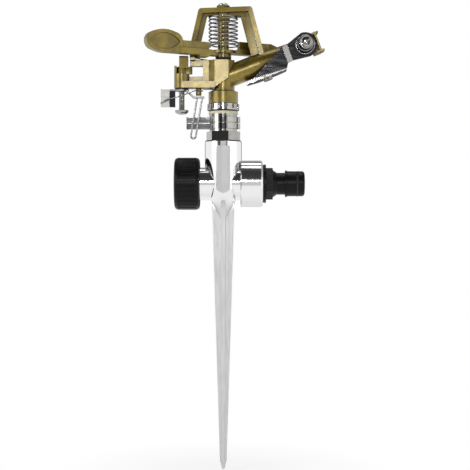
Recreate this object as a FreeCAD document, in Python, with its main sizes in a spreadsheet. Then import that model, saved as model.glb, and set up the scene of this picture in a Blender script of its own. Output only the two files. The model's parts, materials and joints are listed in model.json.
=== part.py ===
import FreeCAD, Part
import math
import os
import Sketcher
from FreeCAD import Placement, Rotation, Vector

# An impact sprinkler: a painted head with a spring-loaded hammer turns on a bearing nipple, which is screwed
# into a cast ground spike with a cross tube. The left end of the tube is capped and the right end takes a hose.
# Origin: on the spike's axis at its shoulder, where the ground comes to. +Z up, +X towards the hose inlet,
# -Y towards the front. Millimetres.

SIZES = [
    # the spike
    ("spike_length", 173.6, "shoulder to point"),
    ("spike_width", 14.6, "width of the crossed blades at the shoulder"),
    ("spike_end_width", 4.4, "width of the blades above the point"),
    ("spike_point_length", 5.6, "height of the point"),
    ("spike_point_width", 1.4, "width left at the very point"),
    ("rib_thickness", 2.9, "blade thickness at the shoulder"),
    ("rib_end_thickness", 2.0, "blade thickness above the point"),
    ("groove_run_out", 13.0, "height over which the grooves fade into the shoulder"),
    # the cross tube and the riser
    ("tube_height", 11.5, "axis of the cross tube above the shoulder"),
    ("tube_diameter", 21.2, "outside of the cross tube"),
    ("tube_bore", 13.5, "waterway in tube and riser"),
    ("riser_diameter", 23.9, "outside of the riser"),
    ("riser_height", 38.6, "top face of the riser above the shoulder"),
    ("riser_bulge_height", 10.0, "height at which the riser starts to narrow into the spike"),
    ("riser_bulge_round", 12.0, "radius of that narrowing"),
    ("chamber_depth", 16.6, "threaded chamber of the riser, from its top"),
    ("lug_width", 9.0, "flat lug on the front and back of the riser"),
    ("lug_reach", 13.0, "lug face from the axis"),
    ("lug_bottom", 5.2, "lowest point of the lug"),
    ("lug_margin", 2.6, "riser's rim above the lug"),
    ("lug_arch", 1.2, "rise of the lug's arched top"),
    ("half_inch_thread", 20.955, "G 1/2 major diameter"),
    ("large_thread", 26.44, "G 3/4 major diameter"),
    ("thread_clearance", 0.08, "radial gap of a plain modelled thread"),
    ("collar_start", 11.2, "inlet collar, inner end from the axis"),
    ("collar_end", 25.5, "inlet collar, face from the axis"),
    ("collar_diameter", 30.2, "outside of the inlet collar"),
    ("collar_bevel", 1.1, "bevel of the collar's rims"),
    ("collar_thread_depth", 12.5, "female thread of the collar"),
    ("spigot_reach", 27.4, "end of the capped spigot from the axis"),
    ("spigot_length", 10.9, "threaded length of the spigot"),
    # the end cap
    ("cap_diameter", 33.8, "outside of the cap"),
    ("cap_reach", 15.2, "mouth of the cap from the axis"),
    ("cap_end_wall", 2.2, "end wall of the cap"),
    ("cap_round", 2.2, "bevel of the cap's rims"),
    ("cap_gasket_thickness", 2.0, "flat gasket in the cap"),
    ("cap_gasket_hole", 15.0, "hole of that gasket"),
    ("gasket_clearance", 0.3, "radial gap around a loose gasket"),
    ("cap_grip_count", 30, "grip flutes around the cap"),
    ("cap_grip_width", 1.1, "width of one flute"),
    ("cap_grip_depth", 0.4, "depth of one flute"),
    ("cap_grip_margin", 2.2, "plain rim at each end of the flutes"),
    # the hose connector
    ("inlet_gasket_thickness", 0.8, "gasket between collar and connector"),
    ("inlet_gasket_diameter", 24.4, "outside of that gasket"),
    ("shank_length", 10.5, "threaded shank of the connector"),
    ("flange_diameter", 25.0, "flange of the connector"),
    ("flange_thickness", 1.3, "thickness of that flange"),
    ("connector_hex", 17.8, "hexagon of the connector, across flats"),
    ("connector_hex_length", 4.5, "length of that hexagon"),
    ("cone_length", 2.6, "cone from hexagon to neck"),
    ("neck_diameter", 14.2, "neck that a coupling latches behind"),
    ("neck_length", 5.4, "length of the neck"),
    ("ridge_diameter", 17.2, "latching ridge"),
    ("ridge_length", 1.3, "length of the ridge"),
    ("nose_diameter", 16.3, "nose that goes into the coupling"),
    ("nose_length", 11.3, "length of the nose"),
    ("nose_round", 1.5, "bevel of the nose's end"),
    ("connector_bore", 10.4, "waterway of the connector"),
    ("o_ring_section", 1.7, "thickness of the O-ring"),
    ("o_ring_stand_out", 0.2, "how far the O-ring stands out of the nose"),
    ("o_ring_place", 6.5, "O-ring from the ridge"),
    # the bearing
    ("riser_gasket_thickness", 0.7, "gasket under the nipple's hexagon"),
    ("riser_gasket_diameter", 23.3, "outside of that gasket"),
    ("nipple_thread_length", 11.7, "thread of the nipple in the riser"),
    ("nipple_hex", 19.4, "hexagon of the nipple, across flats"),
    ("nipple_hex_height", 5.9, "height of that hexagon"),
    ("nipple_hex_turn", 12.0, "how far the hexagon stopped short of square, degrees"),
    ("band_diameter", 17.6, "band that the lower collar stands over"),
    ("band_height", 1.7, "height of that band"),
    ("nipple_diameter", 16.5, "seat of the friction collars"),
    ("rim_diameter", 18.0, "rim that keeps the collars on"),
    ("rim_height", 1.6, "height of that rim"),
    ("sleeve_diameter", 12.0, "outside of the bearing sleeve"),
    ("sleeve_bore", 9.4, "waterway of the sleeve"),
    ("sleeve_foot_diameter", 17.2, "foot flange of the sleeve"),
    ("sleeve_foot_thickness", 1.8, "thickness of that flange"),
    ("sleeve_thread_length", 7.0, "length of the sleeve screwed into the head"),
    ("slip_washer_thickness", 0.8, "slip washer over the sleeve's foot"),
    ("seal_washer_thickness", 1.4, "rubber washer on the sleeve's foot"),
    ("running_clearance", 0.06, "radial gap of a running fit"),
    ("end_clearance", 0.1, "end gap of a turning piece"),
    ("pocket_diameter", 14.6, "pocket of the bearing spring"),
    ("pocket_depth", 12.6, "depth of that pocket"),
    ("bearing_wire", 0.7, "wire of the bearing spring"),
    ("bearing_coils", 5, "turns of the bearing spring"),
    ("thrust_diameter", 18.9, "cream thrust washer"),
    ("thrust_thickness", 1.7, "its thickness"),
    ("top_washer_diameter", 15.2, "dark washer under the nut"),
    ("top_washer_thickness", 0.8, "its thickness"),
    ("nut_diameter", 20.6, "castellated nut"),
    ("nut_height", 4.0, "its height"),
    ("nut_rim_height", 1.0, "plain rim below its slots"),
    ("nut_slot_count", 14, "slots around the nut"),
    ("nut_slot_width", 1.4, "width of a slot"),
    ("nut_slot_depth", 1.7, "depth of a slot"),
    ("nut_neck_diameter", 16.4, "neck between nut and head"),
    ("nut_neck_height", 0.5, "height of that neck"),
    # the friction collars
    ("friction_height", 3.6, "height of a friction collar"),
    ("friction_gap", 0.6, "gap between the two collars"),
    ("friction_thickness", 0.8, "strip thickness of a collar"),
    ("ear_reach", 23.8, "tips of the pinch ears from the axis"),
    ("ear_gap", 2.4, "gap between the two ears"),
    ("ear_tip", 1.8, "bent-out tip of an ear"),
    ("loop_radius", 1.9, "spring loop opposite the ears"),
    # the head casting
    ("foot_diameter", 19.1, "bearing foot of the head"),
    ("foot_height", 7.5, "height of that foot"),
    ("stem_diameter", 14.6, "stem between foot and body"),
    ("body_height", 27.8, "top of the body above the foot's underside"),
    ("body_depth", 15.4, "body, front to back"),
    ("body_left", 5.5, "left edge of the body's front face"),
    ("body_right", 7.3, "right edge of the body"),
    ("body_bevel", 4.0, "bevelled right edges of the body"),
    ("body_low_left", 9.9, "slanted lower edge, left end"),
    ("body_low_right", 18.9, "slanted lower edge, right end"),
    ("flank_reach", 13.1, "left flank of the body from the axis"),
    ("flank_depth", 9.0, "left flank, front to back"),
    ("jet_drop", 11.4, "jet axis under the top of the body, on the head's axis"),
    ("jet_angle", 21.0, "rise of the jet, degrees"),
    ("barrel_diameter", 14.4, "root of the barrel"),
    ("barrel_end_diameter", 11.4, "end of the barrel"),
    ("barrel_length", 41.0, "barrel from the head's axis"),
    ("barrel_taper_start", 25.0, "where the barrel starts to narrow"),
    ("barrel_bore", 8.2, "waterway of the barrel"),
    ("nozzle_thread_length", 7.0, "nozzle screwed into the barrel"),
    ("nozzle_hex", 9.6, "hexagon of the nozzle, across flats"),
    ("nozzle_hex_length", 4.0, "length of that hexagon"),
    ("nozzle_orifice", 3.6, "jet diameter"),
    # the bracket of the trip gear
    ("trip_x", 26.8, "trip axis to the left of the head's axis"),
    ("trip_y", 4.0, "trip axis in front of the head's axis"),
    ("boss_diameter", 9.9, "boss of the trip axis"),
    ("boss_foot", 9.5, "underside of the boss over the foot's underside"),
    ("boss_height", 9.2, "height of the boss"),
    ("boss_guard", 5.1, "height of the guard wall above the boss"),
    ("bracket_thickness", 4.2, "thickness of the bracket plate"),
    ("bracket_web_height", 3.6, "height of the web on the bracket plate"),
    ("bracket_depth", 9.0, "bracket plate, front to back"),
    # the yoke
    ("yoke_height", 62.6, "top of the yoke over the foot's underside, at its right corner"),
    ("yoke_left_drop", 1.2, "how much lower its left corner is"),
    ("yoke_left_foot", 21.6, "left leg's outer face"),
    ("yoke_left_bend", 36.4, "height at which the left leg leans in"),
    ("yoke_left_top", 16.2, "top left corner"),
    ("yoke_right_top", 18.9, "top right corner"),
    ("yoke_right_foot", 27.1, "right leg's outer face at its foot"),
    ("yoke_foot_height", 29.7, "height of the right leg's foot"),
    ("yoke_corner", 1.8, "rounding of the top corners"),
    ("leg_width", 8.7, "width of a leg, seen from the front"),
    ("left_leg_width", 6.3, "width of the left leg"),
    ("bar_height", 5.7, "depth of the top bar"),
    ("web_thickness", 5.0, "web of the yoke, front to back"),
    ("rim_width", 9.4, "outer rim of the yoke, front to back"),
    ("rim_thickness", 3.2, "thickness of that rim"),
    ("top_boss_diameter", 8.6, "boss under the top bar"),
    ("top_boss_rise", 0.9, "top of that boss over the yoke"),
    ("foot_web_front", 1.5, "front face of the left leg's foot"),
    ("foot_web_back", 4.5, "back face of the left leg's foot"),
    ("foot_web_low", 24.4, "underside of the left leg's foot"),
    # the hammer arm
    ("arm_rest_angle", 26.0, "arm at rest, turned from the yoke, degrees"),
    ("arm_washer_thickness", 2.0, "black washer under the arm"),
    ("arm_washer_diameter", 10.2, "its diameter"),
    ("arm_neck_diameter", 10.4, "neck under the hub"),
    ("arm_neck_height", 2.5, "height of that neck"),
    ("hub_diameter", 16.0, "hub disc"),
    ("hub_height", 2.0, "height of the hub disc"),
    ("arm_sleeve_diameter", 7.2, "long sleeve inside the arm spring"),
    ("arm_sleeve_gap", 0.6, "gap between the sleeve and the top boss"),
    ("pin_diameter", 4.0, "fulcrum pin"),
    ("pin_depth", 8.0, "fulcrum pin in the body"),
    ("pin_head_diameter", 6.6, "head of the fulcrum pin"),
    ("pin_head_height", 1.7, "its height"),
    ("bar_depth", 6.0, "lower band of the arm, front to back"),
    ("bar_low_height", 3.8, "height of the lower band"),
    ("bar_high_depth", 3.2, "upper band of the arm, front to back"),
    ("arm_height", 8.5, "height of the arm"),
    ("arm_drop", 1.7, "the paddle's half of the arm hangs this far below the hub disc"),
    ("bar_inner", 10.9, "inner end of the upper bands"),
    ("bar_right", 33.5, "right end of the straight arm"),
    ("paddle_centre", 42.0, "counterweight paddle from the axis"),
    ("paddle_length", 25.0, "length of the paddle"),
    ("paddle_width", 14.7, "height of the paddle"),
    ("paddle_depth", 5.0, "thickness of the paddle"),
    ("paddle_border", 2.1, "raised border of the paddle"),
    ("paddle_recess", 0.8, "depth inside that border"),
    ("knob_near", 10.5, "stop knob under the arm, near end"),
    ("knob_far", 18.5, "stop knob, far end"),
    ("knob_height", 1.3, "height of the stop knob"),
    ("tail_angle", 14.5, "tail's turn towards the jet, degrees"),
    ("tail_depth", 3.6, "thickness of the tail"),
    ("tail_length", 31.5, "length of the tail"),
    ("tail_rise", 9.9, "rise of the tail to the spoon"),
    ("tail_width", 7.0, "height of the tail"),
    ("spoon_start", 61.0, "spoon along the jet, near end"),
    ("spoon_end", 67.9, "spoon along the jet, far end"),
    ("spoon_half_height", 6.1, "spoon flanges from the jet"),
    ("spoon_front", 4.0, "spoon's front edge"),
    ("spoon_back", 9.6, "spoon's back edge"),
    ("spoon_thickness", 1.2, "thickness of flanges and vane"),
    ("vane_place", 65.0, "face of the vane along the jet"),
    ("vane_round", 3.4, "curve of the vane"),
    ("spring_wire", 1.0, "wire of the arm spring"),
    ("spring_diameter", 19.4, "outside of the arm spring"),
    ("spring_coils", 8, "turns of the arm spring"),
    ("spring_lift", 2.6, "lowest turn above the hub disc"),
    ("spring_gap", 1.5, "centre of the highest turn below the top bar, less the wire's radius"),
    # the jet bracket and the breaker screw, along the jet
    ("sheet_thickness", 1.0, "sheet steel of bracket and lever"),
    ("shelf_drop", 9.2, "top of the bracket's shelf below the jet"),
    ("shelf_start", 12.8, "shelf, near end"),
    ("shelf_end", 39.9, "shelf and gusset, far end"),
    ("shelf_back", 6.0, "shelf's back edge"),
    ("gusset_front", 8.9, "front face of the gusset"),
    ("gusset_low", 6.6, "gusset's slanted edge, lower end below the jet"),
    ("gusset_high", 4.4, "gusset's slanted edge, upper end above the jet"),
    ("gusset_start", 20.4, "lower end of that edge along the jet"),
    ("jog_end", 45.4, "end of the jog"),
    ("jog_step", 3.2, "how far the jog steps forward"),
    ("ear_place", 56.4, "breaker screw along the jet"),
    ("ear_radius", 8.0, "round ear of the bracket"),
    ("ear_collar_diameter", 6.8, "drawn collar behind the ear"),
    ("ear_collar_length", 2.4, "its length"),
    ("rivet_place", 27.0, "rivet along the jet"),
    ("rivet_diameter", 3.2, "rivet of the jet bracket"),
    ("rivet_head_diameter", 6.0, "its head"),
    ("rivet_head_height", 1.5, "height of its head"),
    ("rivet_depth", 2.0, "rivet in the barrel"),
    ("pad_diameter", 7.0, "cast pad that the shelf sits on"),
    ("breaker_diameter", 4.0, "breaker screw"),
    ("breaker_tip", 2.6, "its tip in front of the jet's axis"),
    ("breaker_gap", 11.0, "ear to the screw's head"),
    ("breaker_head_diameter", 6.4, "head of the breaker screw"),
    ("breaker_head_height", 2.8, "its height"),
    ("breaker_slot", 1.0, "slot of its head"),
    ("breaker_washer_diameter", 8.4, "washer under the head"),
    ("breaker_washer_thickness", 0.8, "its thickness"),
    ("breaker_wire", 1.0, "wire of the conical spring"),
    ("breaker_wide", 13.7, "wide end of the conical spring"),
    ("breaker_coils", 4, "turns of the conical spring"),
    # the trip gear
    ("trip_screw_diameter", 4.0, "trip screw"),
    ("trip_head_diameter", 8.8, "its pan head"),
    ("trip_head_height", 2.7, "height of that head"),
    ("trip_drop", 12.2, "screw showing under the lever"),
    ("spacer_thickness", 1.0, "spacer between boss and lever"),
    ("spacer_diameter", 8.6, "its diameter"),
    ("dog_cam_diameter", 6.6, "cam of the trip dog"),
    ("dog_cam_reach", 6.9, "lobe of that cam from the trip axis"),
    ("dog_cam_width", 4.0, "width of the lobe"),
    ("dog_cam_height", 4.5, "height of the cam"),
    ("dog_height", 6.9, "post of the trip dog"),
    ("dog_left", 1.6, "post, left of the trip axis"),
    ("dog_right", 4.2, "post, right of the trip axis"),
    ("dog_depth", 5.4, "post, front to back"),
    ("lever_eye", 9.4, "eye of the lever around the screw"),
    ("lever_drop", 4.4, "how far the lever's arm dips"),
    ("lever_bend", 7.6, "end of the dip from the trip axis"),
    ("lever_reach", 14.6, "end of the lever's arm"),
    ("lever_width", 5.4, "width of the lever's arm"),
    ("tab_root", 2.8, "tab's plate, near end from the trip axis"),
    ("tab_bend", 7.8, "fold of the tab"),
    ("tab_reach", 13.4, "outer end of the tab"),
    ("tab_height", 11.4, "height of the tab"),
    ("tab_front", 3.2, "front of the tab from the trip axis"),
    ("wire_diameter", 1.2, "trip wire"),
    ("wire_spread", 3.2, "gap of its two legs, centre to centre"),
    ("wire_place", 11.6, "wire in the lever from the trip axis"),
    ("wire_lean", 4.1, "how far the wire leans left"),
    ("wire_length", 24.6, "length of the wire's legs"),
    ("wire_front", 1.9, "wire in front of the trip axis"),
    ("pin_stop_diameter", 3.6, "stop pin in the bracket"),
    ("pin_stop_x", 10.9, "stop pin from the trip axis"),
    ("pin_stop_drop", 4.6, "stop pin under the bracket"),
    ("pin_stop_depth", 3.0, "stop pin in the bracket"),
    ("hook_wire", 0.8, "wire of the over-centre spring"),
]

doc = FreeCAD.newDocument("Sprinkler")
sheet = doc.addObject("Spreadsheet::Sheet", "Dims")
for row, (alias, size, meaning) in enumerate(SIZES, start=1):
    sheet.set(f"A{row}", meaning)
    sheet.set(f"B{row}", str(size))
    sheet.setAlias(f"B{row}", alias)
doc.recompute()

# Every place below is an expression of the sheet's cells, so that a changed size carries through.
HEX_FOOT = "(Dims.riser_height + Dims.riser_gasket_thickness)"
HEX_TOP = f"({HEX_FOOT} + Dims.nipple_hex_height)"
BAND_TOP = f"({HEX_TOP} + Dims.band_height)"
LOWER_COLLAR = f"({BAND_TOP} + Dims.end_clearance)"
UPPER_COLLAR = f"({LOWER_COLLAR} + Dims.friction_height + Dims.friction_gap)"
RIM_FOOT = f"({UPPER_COLLAR} + Dims.friction_height + Dims.end_clearance)"
NIPPLE_TOP = f"({RIM_FOOT} + Dims.rim_height)"
THRUST_TOP = f"({NIPPLE_TOP} + Dims.thrust_thickness)"
NUT_FOOT = f"({THRUST_TOP} + Dims.top_washer_thickness)"
NUT_TOP = f"({NUT_FOOT} + Dims.nut_height)"
HEAD_FOOT = f"({NUT_TOP} + Dims.nut_neck_height)"
NIPPLE_END = f"({HEX_FOOT} - Dims.nipple_thread_length)"
JET_HEIGHT = "(Dims.body_height - Dims.jet_drop)"
JET_ORIGIN = f"({HEAD_FOOT} + {JET_HEIGHT})"
THREAD_R = "(Dims.half_inch_thread / 2)"
SHANK_R = f"({THREAD_R} - Dims.thread_clearance)"
FLANGE_FACE = "(Dims.collar_end + Dims.inlet_gasket_thickness)"
HEX_START = f"({FLANGE_FACE} + Dims.flange_thickness)"
CONE_START = f"({HEX_START} + Dims.connector_hex_length)"
NECK_START = f"({CONE_START} + Dims.cone_length)"
RIDGE_START = f"({NECK_START} + Dims.neck_length)"
NOSE_START = f"({RIDGE_START} + Dims.ridge_length)"
NOSE_END = f"({NOSE_START} + Dims.nose_length)"
ARM_FOOT = "(Dims.body_height + Dims.arm_washer_thickness)"
HUB_FOOT = f"({ARM_FOOT} + Dims.arm_neck_height)"
HUB_TOP = f"({HUB_FOOT} + Dims.hub_height)"
BAR_INNER_TOP = "(Dims.yoke_height - Dims.bar_height)"
YOKE_CROWN = "(Dims.yoke_height + Dims.top_boss_rise)"
SPRING_HEIGHT = f"({BAR_INNER_TOP} - {HUB_TOP} - Dims.spring_lift - Dims.spring_gap)"
SLEEVE_LENGTH = f"(Dims.spring_lift + {SPRING_HEIGHT} - Dims.bar_high_depth)"
BOSS_TOP = "(Dims.boss_foot + Dims.boss_height)"
LEVER_TOP = "(Dims.boss_foot - Dims.spacer_thickness)"
LEVER_LOW = f"({LEVER_TOP} - Dims.sheet_thickness)"
EAR_FRONT = "(Dims.gusset_front + Dims.jog_step)"
HEAD_REAR = f"({EAR_FRONT} + Dims.breaker_gap)"
ROUND_SHARE = "(1 - cos(45))"


def number(expression):
    """The value that an expression of the sheet has now."""
    return float(sheet.evalExpression(str(expression)))


def new_body(name, lift=None):
    """A body, raised to a height of its own where it is given."""
    body = doc.addObject("PartDesign::Body", name)
    body.Label = name
    if lift is not None:
        body.setExpression("Placement.Base.z", lift)
    return body


def new_sketch(body, name, plane, ahead=None, up=None):
    """A sketch on one of the body's own planes, moved ahead along its normal and up in its plane."""
    sketch = body.newObject("Sketcher::SketchObject", name)
    origin_plane = next(item for item in body.Origin.OriginFeatures if item.Role == plane)
    sketch.AttachmentSupport = [(origin_plane, "")]
    sketch.MapMode = "FlatFace"
    if ahead is not None:
        sketch.setExpression("AttachmentOffset.Base.z", ahead)
    if up is not None:
        sketch.setExpression("AttachmentOffset.Base.y", up)
    return sketch


def bind(sketch, constraint, expression):
    """Add a constraint whose value follows an expression."""
    index = sketch.addConstraint(constraint)
    sketch.setExpression(f"Constraints[{index}]", str(expression))


def arc_between(start, end, bend):
    """The shorter arc from start to end, its centre to the left of the way there where bend is positive."""
    chord = end - start
    half = chord.Length / 2
    rise = abs(bend) - math.sqrt(bend * bend - half * half)
    left = Vector(-chord.y, chord.x, 0).normalize()
    middle = (start + end) * 0.5 - left * math.copysign(rise, bend)
    return Part.Arc(start, middle, end)


def add_loop(sketch, corners):
    """Close a loop through corners (x, y). A third item is the radius of the edge that leaves the corner."""
    spots = [Vector(number(corner[0]), number(corner[1]), 0) for corner in corners]
    first = sketch.GeometryCount
    ends = []
    for index, corner in enumerate(corners):
        start = spots[index]
        end = spots[(index + 1) % len(spots)]
        if len(corner) == 2:
            sketch.addGeometry(Part.LineSegment(start, end), False)
            ends.append((1, 2))
        else:
            bend = number(corner[2])
            edge = sketch.addGeometry(arc_between(start, end, bend), False)
            bind(sketch, Sketcher.Constraint("Radius", edge, abs(bend)), f"abs({corner[2]})")
            ends.append((1, 2) if bend > 0 else (2, 1))
    for index, corner in enumerate(corners):
        after = (index + 1) % len(corners)
        edge = first + index
        here, there = ends[index]
        sketch.addConstraint(Sketcher.Constraint("Coincident", edge, there, first + after, ends[after][0]))
        bind(sketch, Sketcher.Constraint("DistanceX", -1, 1, edge, here, spots[index].x), corner[0])
        bind(sketch, Sketcher.Constraint("DistanceY", -1, 1, edge, here, spots[index].y), corner[1])


def add_circle(sketch, across, along, radius):
    """A full circle."""
    centre = Vector(number(across), number(along), 0)
    edge = sketch.addGeometry(Part.Circle(centre, Vector(0, 0, 1), number(radius)), False)
    bind(sketch, Sketcher.Constraint("Radius", edge, number(radius)), radius)
    bind(sketch, Sketcher.Constraint("DistanceX", -1, 1, edge, 3, centre.x), across)
    bind(sketch, Sketcher.Constraint("DistanceY", -1, 1, edge, 3, centre.y), along)


def extrude(body, kind, sketch, length, both_ways, backwards):
    """A pad or a pocket of a sketch."""
    feature = body.newObject(f"PartDesign::{kind}", f"{sketch.Name}_{kind}")
    feature.Profile = sketch
    feature.Midplane = both_ways
    feature.Reversed = backwards
    feature.setExpression("Length", length)
    return feature


def pad(body, sketch, length, both_ways=False, backwards=False):
    """Material on one side of a sketch, or on both."""
    return extrude(body, "Pad", sketch, length, both_ways, backwards)


def pocket(body, sketch, length, both_ways=False, backwards=False):
    """A cut from a sketch, which has to take something away."""
    doc.recompute()
    before = body.Shape.Volume
    feature = extrude(body, "Pocket", sketch, length, both_ways, backwards)
    doc.recompute()
    if body.Shape.Volume >= before:
        raise RuntimeError(f"{feature.Name} cuts nothing")
    return feature


def turn(body, sketch, axis="V_Axis"):
    """Material turned around an axis of its sketch."""
    feature = body.newObject("PartDesign::Revolution", f"{sketch.Name}_Turn")
    feature.Profile = sketch
    feature.ReferenceAxis = (sketch, [axis])
    feature.Angle = 360
    return feature


def turn_out(body, sketch, axis="V_Axis"):
    """A bore turned around an axis of its sketch, which has to take something away."""
    doc.recompute()
    before = body.Shape.Volume
    feature = body.newObject("PartDesign::Groove", f"{sketch.Name}_Bore")
    feature.Profile = sketch
    feature.ReferenceAxis = (sketch, [axis])
    feature.Angle = 360
    doc.recompute()
    if body.Shape.Volume >= before:
        raise RuntimeError(f"{feature.Name} cuts nothing")
    return feature


def around(body, feature, sketch, axis, count):
    """Copies of a feature around an axis of a sketch."""
    doc.recompute()
    pattern = body.newObject("PartDesign::PolarPattern", f"{feature.Name}_Around")
    pattern.Originals = [feature]
    pattern.Axis = (sketch, [axis])
    pattern.Angle = 360
    pattern.setExpression("Occurrences", count)
    body.Tip = pattern
    return pattern


def profile(body, name, corners, plane="XZ_Plane", ahead=None, up=None):
    """A sketch with one loop."""
    sketch = new_sketch(body, name, plane, ahead, up)
    add_loop(sketch, corners)
    return sketch


def ring(name, outer, inner, foot, height):
    """A flat washer on the head's axis."""
    body = new_body(name, foot)
    sketch = new_sketch(body, f"{name}_plan", "XY_Plane")
    add_circle(sketch, 0, 0, outer)
    add_circle(sketch, 0, 0, inner)
    pad(body, sketch, height)
    return body


def many_sided(sketch, reach, sides, start_angle, up=0):
    """A regular loop, its corners at a given reach and the first of them at an angle in degrees."""
    corners = []
    for step in range(sides):
        angle = f"({start_angle} + {360 * step // sides})"
        corners.append((f"{reach} * cos({angle})", f"{up} + {reach} * sin({angle})"))
    add_loop(sketch, corners)


def hexagon(sketch, flats, start_angle):
    """A hexagon of a given width across its flats."""
    many_sided(sketch, f"({flats}) / 2 / cos(30)", 6, start_angle)


def wire_solid(points, radius, sides=6):
    """A wire as a chain of straight many-sided lengths, which keeps a long coil light."""
    sections = []
    for index, point in enumerate(points):
        behind = points[max(index - 1, 0)]
        ahead = points[min(index + 1, len(points) - 1)]
        along = (ahead - behind).normalize()
        side = along.cross(Vector(0, 0, 1)).normalize()
        up = side.cross(along)
        corners = []
        for step in range(sides):
            angle = 2 * math.pi * step / sides
            corners.append(point + side * (radius * math.cos(angle)) + up * (radius * math.sin(angle)))
        sections.append(Part.makePolygon(corners + [corners[0]]))
    return Part.makeLoft(sections, True, True)


def coil_points(start_radius, end_radius, height, coils, per_turn, start_angle=0.0):
    """Points along a coil around Z, from height 0 up, wound counterclockwise."""
    steps = int(round(coils * per_turn))
    points = []
    for step in range(steps + 1):
        share = step / steps
        angle = math.radians(start_angle) + 2 * math.pi * coils * share
        radius = start_radius + (end_radius - start_radius) * share
        points.append(Vector(radius * math.cos(angle), radius * math.sin(angle), height * share))
    return points


def feature_of(name, shape, placement=None):
    """A sub-part whose shape is made directly."""
    item = doc.addObject("Part::Feature", name)
    item.Label = name
    item.Shape = shape
    if placement is not None:
        item.Placement = placement
    return item


def joined(name, pieces):
    """Several bodies cast in one."""
    fuse = doc.addObject("Part::MultiFuse", name)
    fuse.Label = name
    fuse.Shapes = pieces
    return fuse


def along_jet(name):
    """A body whose X runs up the jet's axis."""
    body = new_body(name, JET_ORIGIN)
    body.Placement = Placement(body.Placement.Base, Rotation(Vector(0, -1, 0), 1))
    body.setExpression("Placement.Rotation.Angle", "Dims.jet_angle")
    return body


# ---------------------------------------------------------------- spike with its cross tube


def cross_section(body, name, width, thickness, depth):
    """A plus-shaped section at a depth below the shoulder."""
    far = f"({width}) / 2"
    near = f"({thickness}) / 2"
    sketch = new_sketch(body, name, "XY_Plane", ahead=depth)
    quarter = [(far, f"-{near}"), (far, near), (near, near)]
    corners = []
    for across, along in quarter:
        corners.append((across, along))
    for across, along in quarter:
        corners.append((f"-({along})", across))
    for across, along in quarter:
        corners.append((f"-({across})", f"-({along})"))
    for across, along in quarter:
        corners.append((along, f"-({across})"))
    add_loop(sketch, corners)
    return sketch


def make_spike():
    body = new_body("spike_base")
    top = cross_section(body, "BladeTop", "Dims.spike_width", "Dims.rib_thickness", "0")
    low_level = "-(Dims.spike_length - Dims.spike_point_length)"
    low = cross_section(body, "BladeLow", "Dims.spike_end_width", "Dims.rib_end_thickness", low_level)
    tip = cross_section(body, "BladeTip", "Dims.spike_point_width", "Dims.spike_point_width * 0.9",
                        "-Dims.spike_length")
    blades = body.newObject("PartDesign::AdditiveLoft", "Blades")
    blades.Profile = top
    blades.Sections = [low, tip]
    blades.Ruled = True

    web = profile(body, "GrooveEnd", [
        (0, "-Dims.groove_run_out"),
        ("Dims.rib_thickness / 2", "-Dims.groove_run_out"),
        ("Dims.spike_width / 2", 0),
        (0, 0),
    ])
    turn(body, web)

    riser = profile(body, "Riser", [
        (0, 0),
        ("Dims.spike_width / 2", 0, "Dims.riser_bulge_round"),
        ("Dims.riser_diameter / 2", "Dims.riser_bulge_height"),
        ("Dims.riser_diameter / 2", "Dims.riser_height"),
        (0, "Dims.riser_height"),
    ])
    turn(body, riser)

    tube = profile(body, "Tube", [
        ("-Dims.spigot_reach", 0),
        ("Dims.collar_end", 0),
        ("Dims.collar_end", "Dims.collar_diameter / 2 - Dims.collar_bevel"),
        ("Dims.collar_end - Dims.collar_bevel", "Dims.collar_diameter / 2"),
        ("Dims.collar_start + Dims.collar_bevel / 2", "Dims.collar_diameter / 2"),
        ("Dims.collar_start", "Dims.collar_diameter / 2 - Dims.collar_bevel / 2"),
        ("Dims.collar_start", "Dims.tube_diameter / 2"),
        ("-(Dims.spigot_reach - Dims.spigot_length)", "Dims.tube_diameter / 2"),
        ("-(Dims.spigot_reach - Dims.spigot_length)", "Dims.large_thread / 2"),
        ("-Dims.spigot_reach", "Dims.large_thread / 2"),
    ], up="Dims.tube_height")
    turn(body, tube, "H_Axis")

    half = "Dims.lug_width / 2"
    shoulder = "Dims.riser_height - Dims.lug_margin - Dims.lug_arch"
    arch = "((Dims.lug_width / 2) ^ 2 + Dims.lug_arch ^ 2) / (2 * Dims.lug_arch)"
    lug = profile(body, "Lug", [
        (f"-{half}", f"Dims.lug_bottom + {half}", f"{half} * 1.0001"),
        (half, f"Dims.lug_bottom + {half}"),
        (half, shoulder, arch),
        (f"-{half}", shoulder),
    ])
    pad(body, lug, "2 * Dims.lug_reach", both_ways=True)

    chamber_floor = "(Dims.riser_height - Dims.chamber_depth)"
    riser_bore = profile(body, "RiserBore", [
        (0, "Dims.tube_height"),
        ("Dims.tube_bore / 2", "Dims.tube_height"),
        ("Dims.tube_bore / 2", chamber_floor),
        (THREAD_R, chamber_floor),
        (THREAD_R, "Dims.riser_height"),
        (0, "Dims.riser_height"),
    ])
    turn_out(body, riser_bore)
    tube_bore = profile(body, "TubeBore", [
        ("-Dims.spigot_reach", 0),
        ("Dims.collar_end", 0),
        ("Dims.collar_end", THREAD_R),
        ("Dims.collar_end - Dims.collar_thread_depth", THREAD_R),
        ("Dims.collar_end - Dims.collar_thread_depth", "Dims.tube_bore / 2"),
        ("-Dims.spigot_reach", "Dims.tube_bore / 2"),
    ], up="Dims.tube_height")
    turn_out(body, tube_bore, "H_Axis")
    return body


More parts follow.
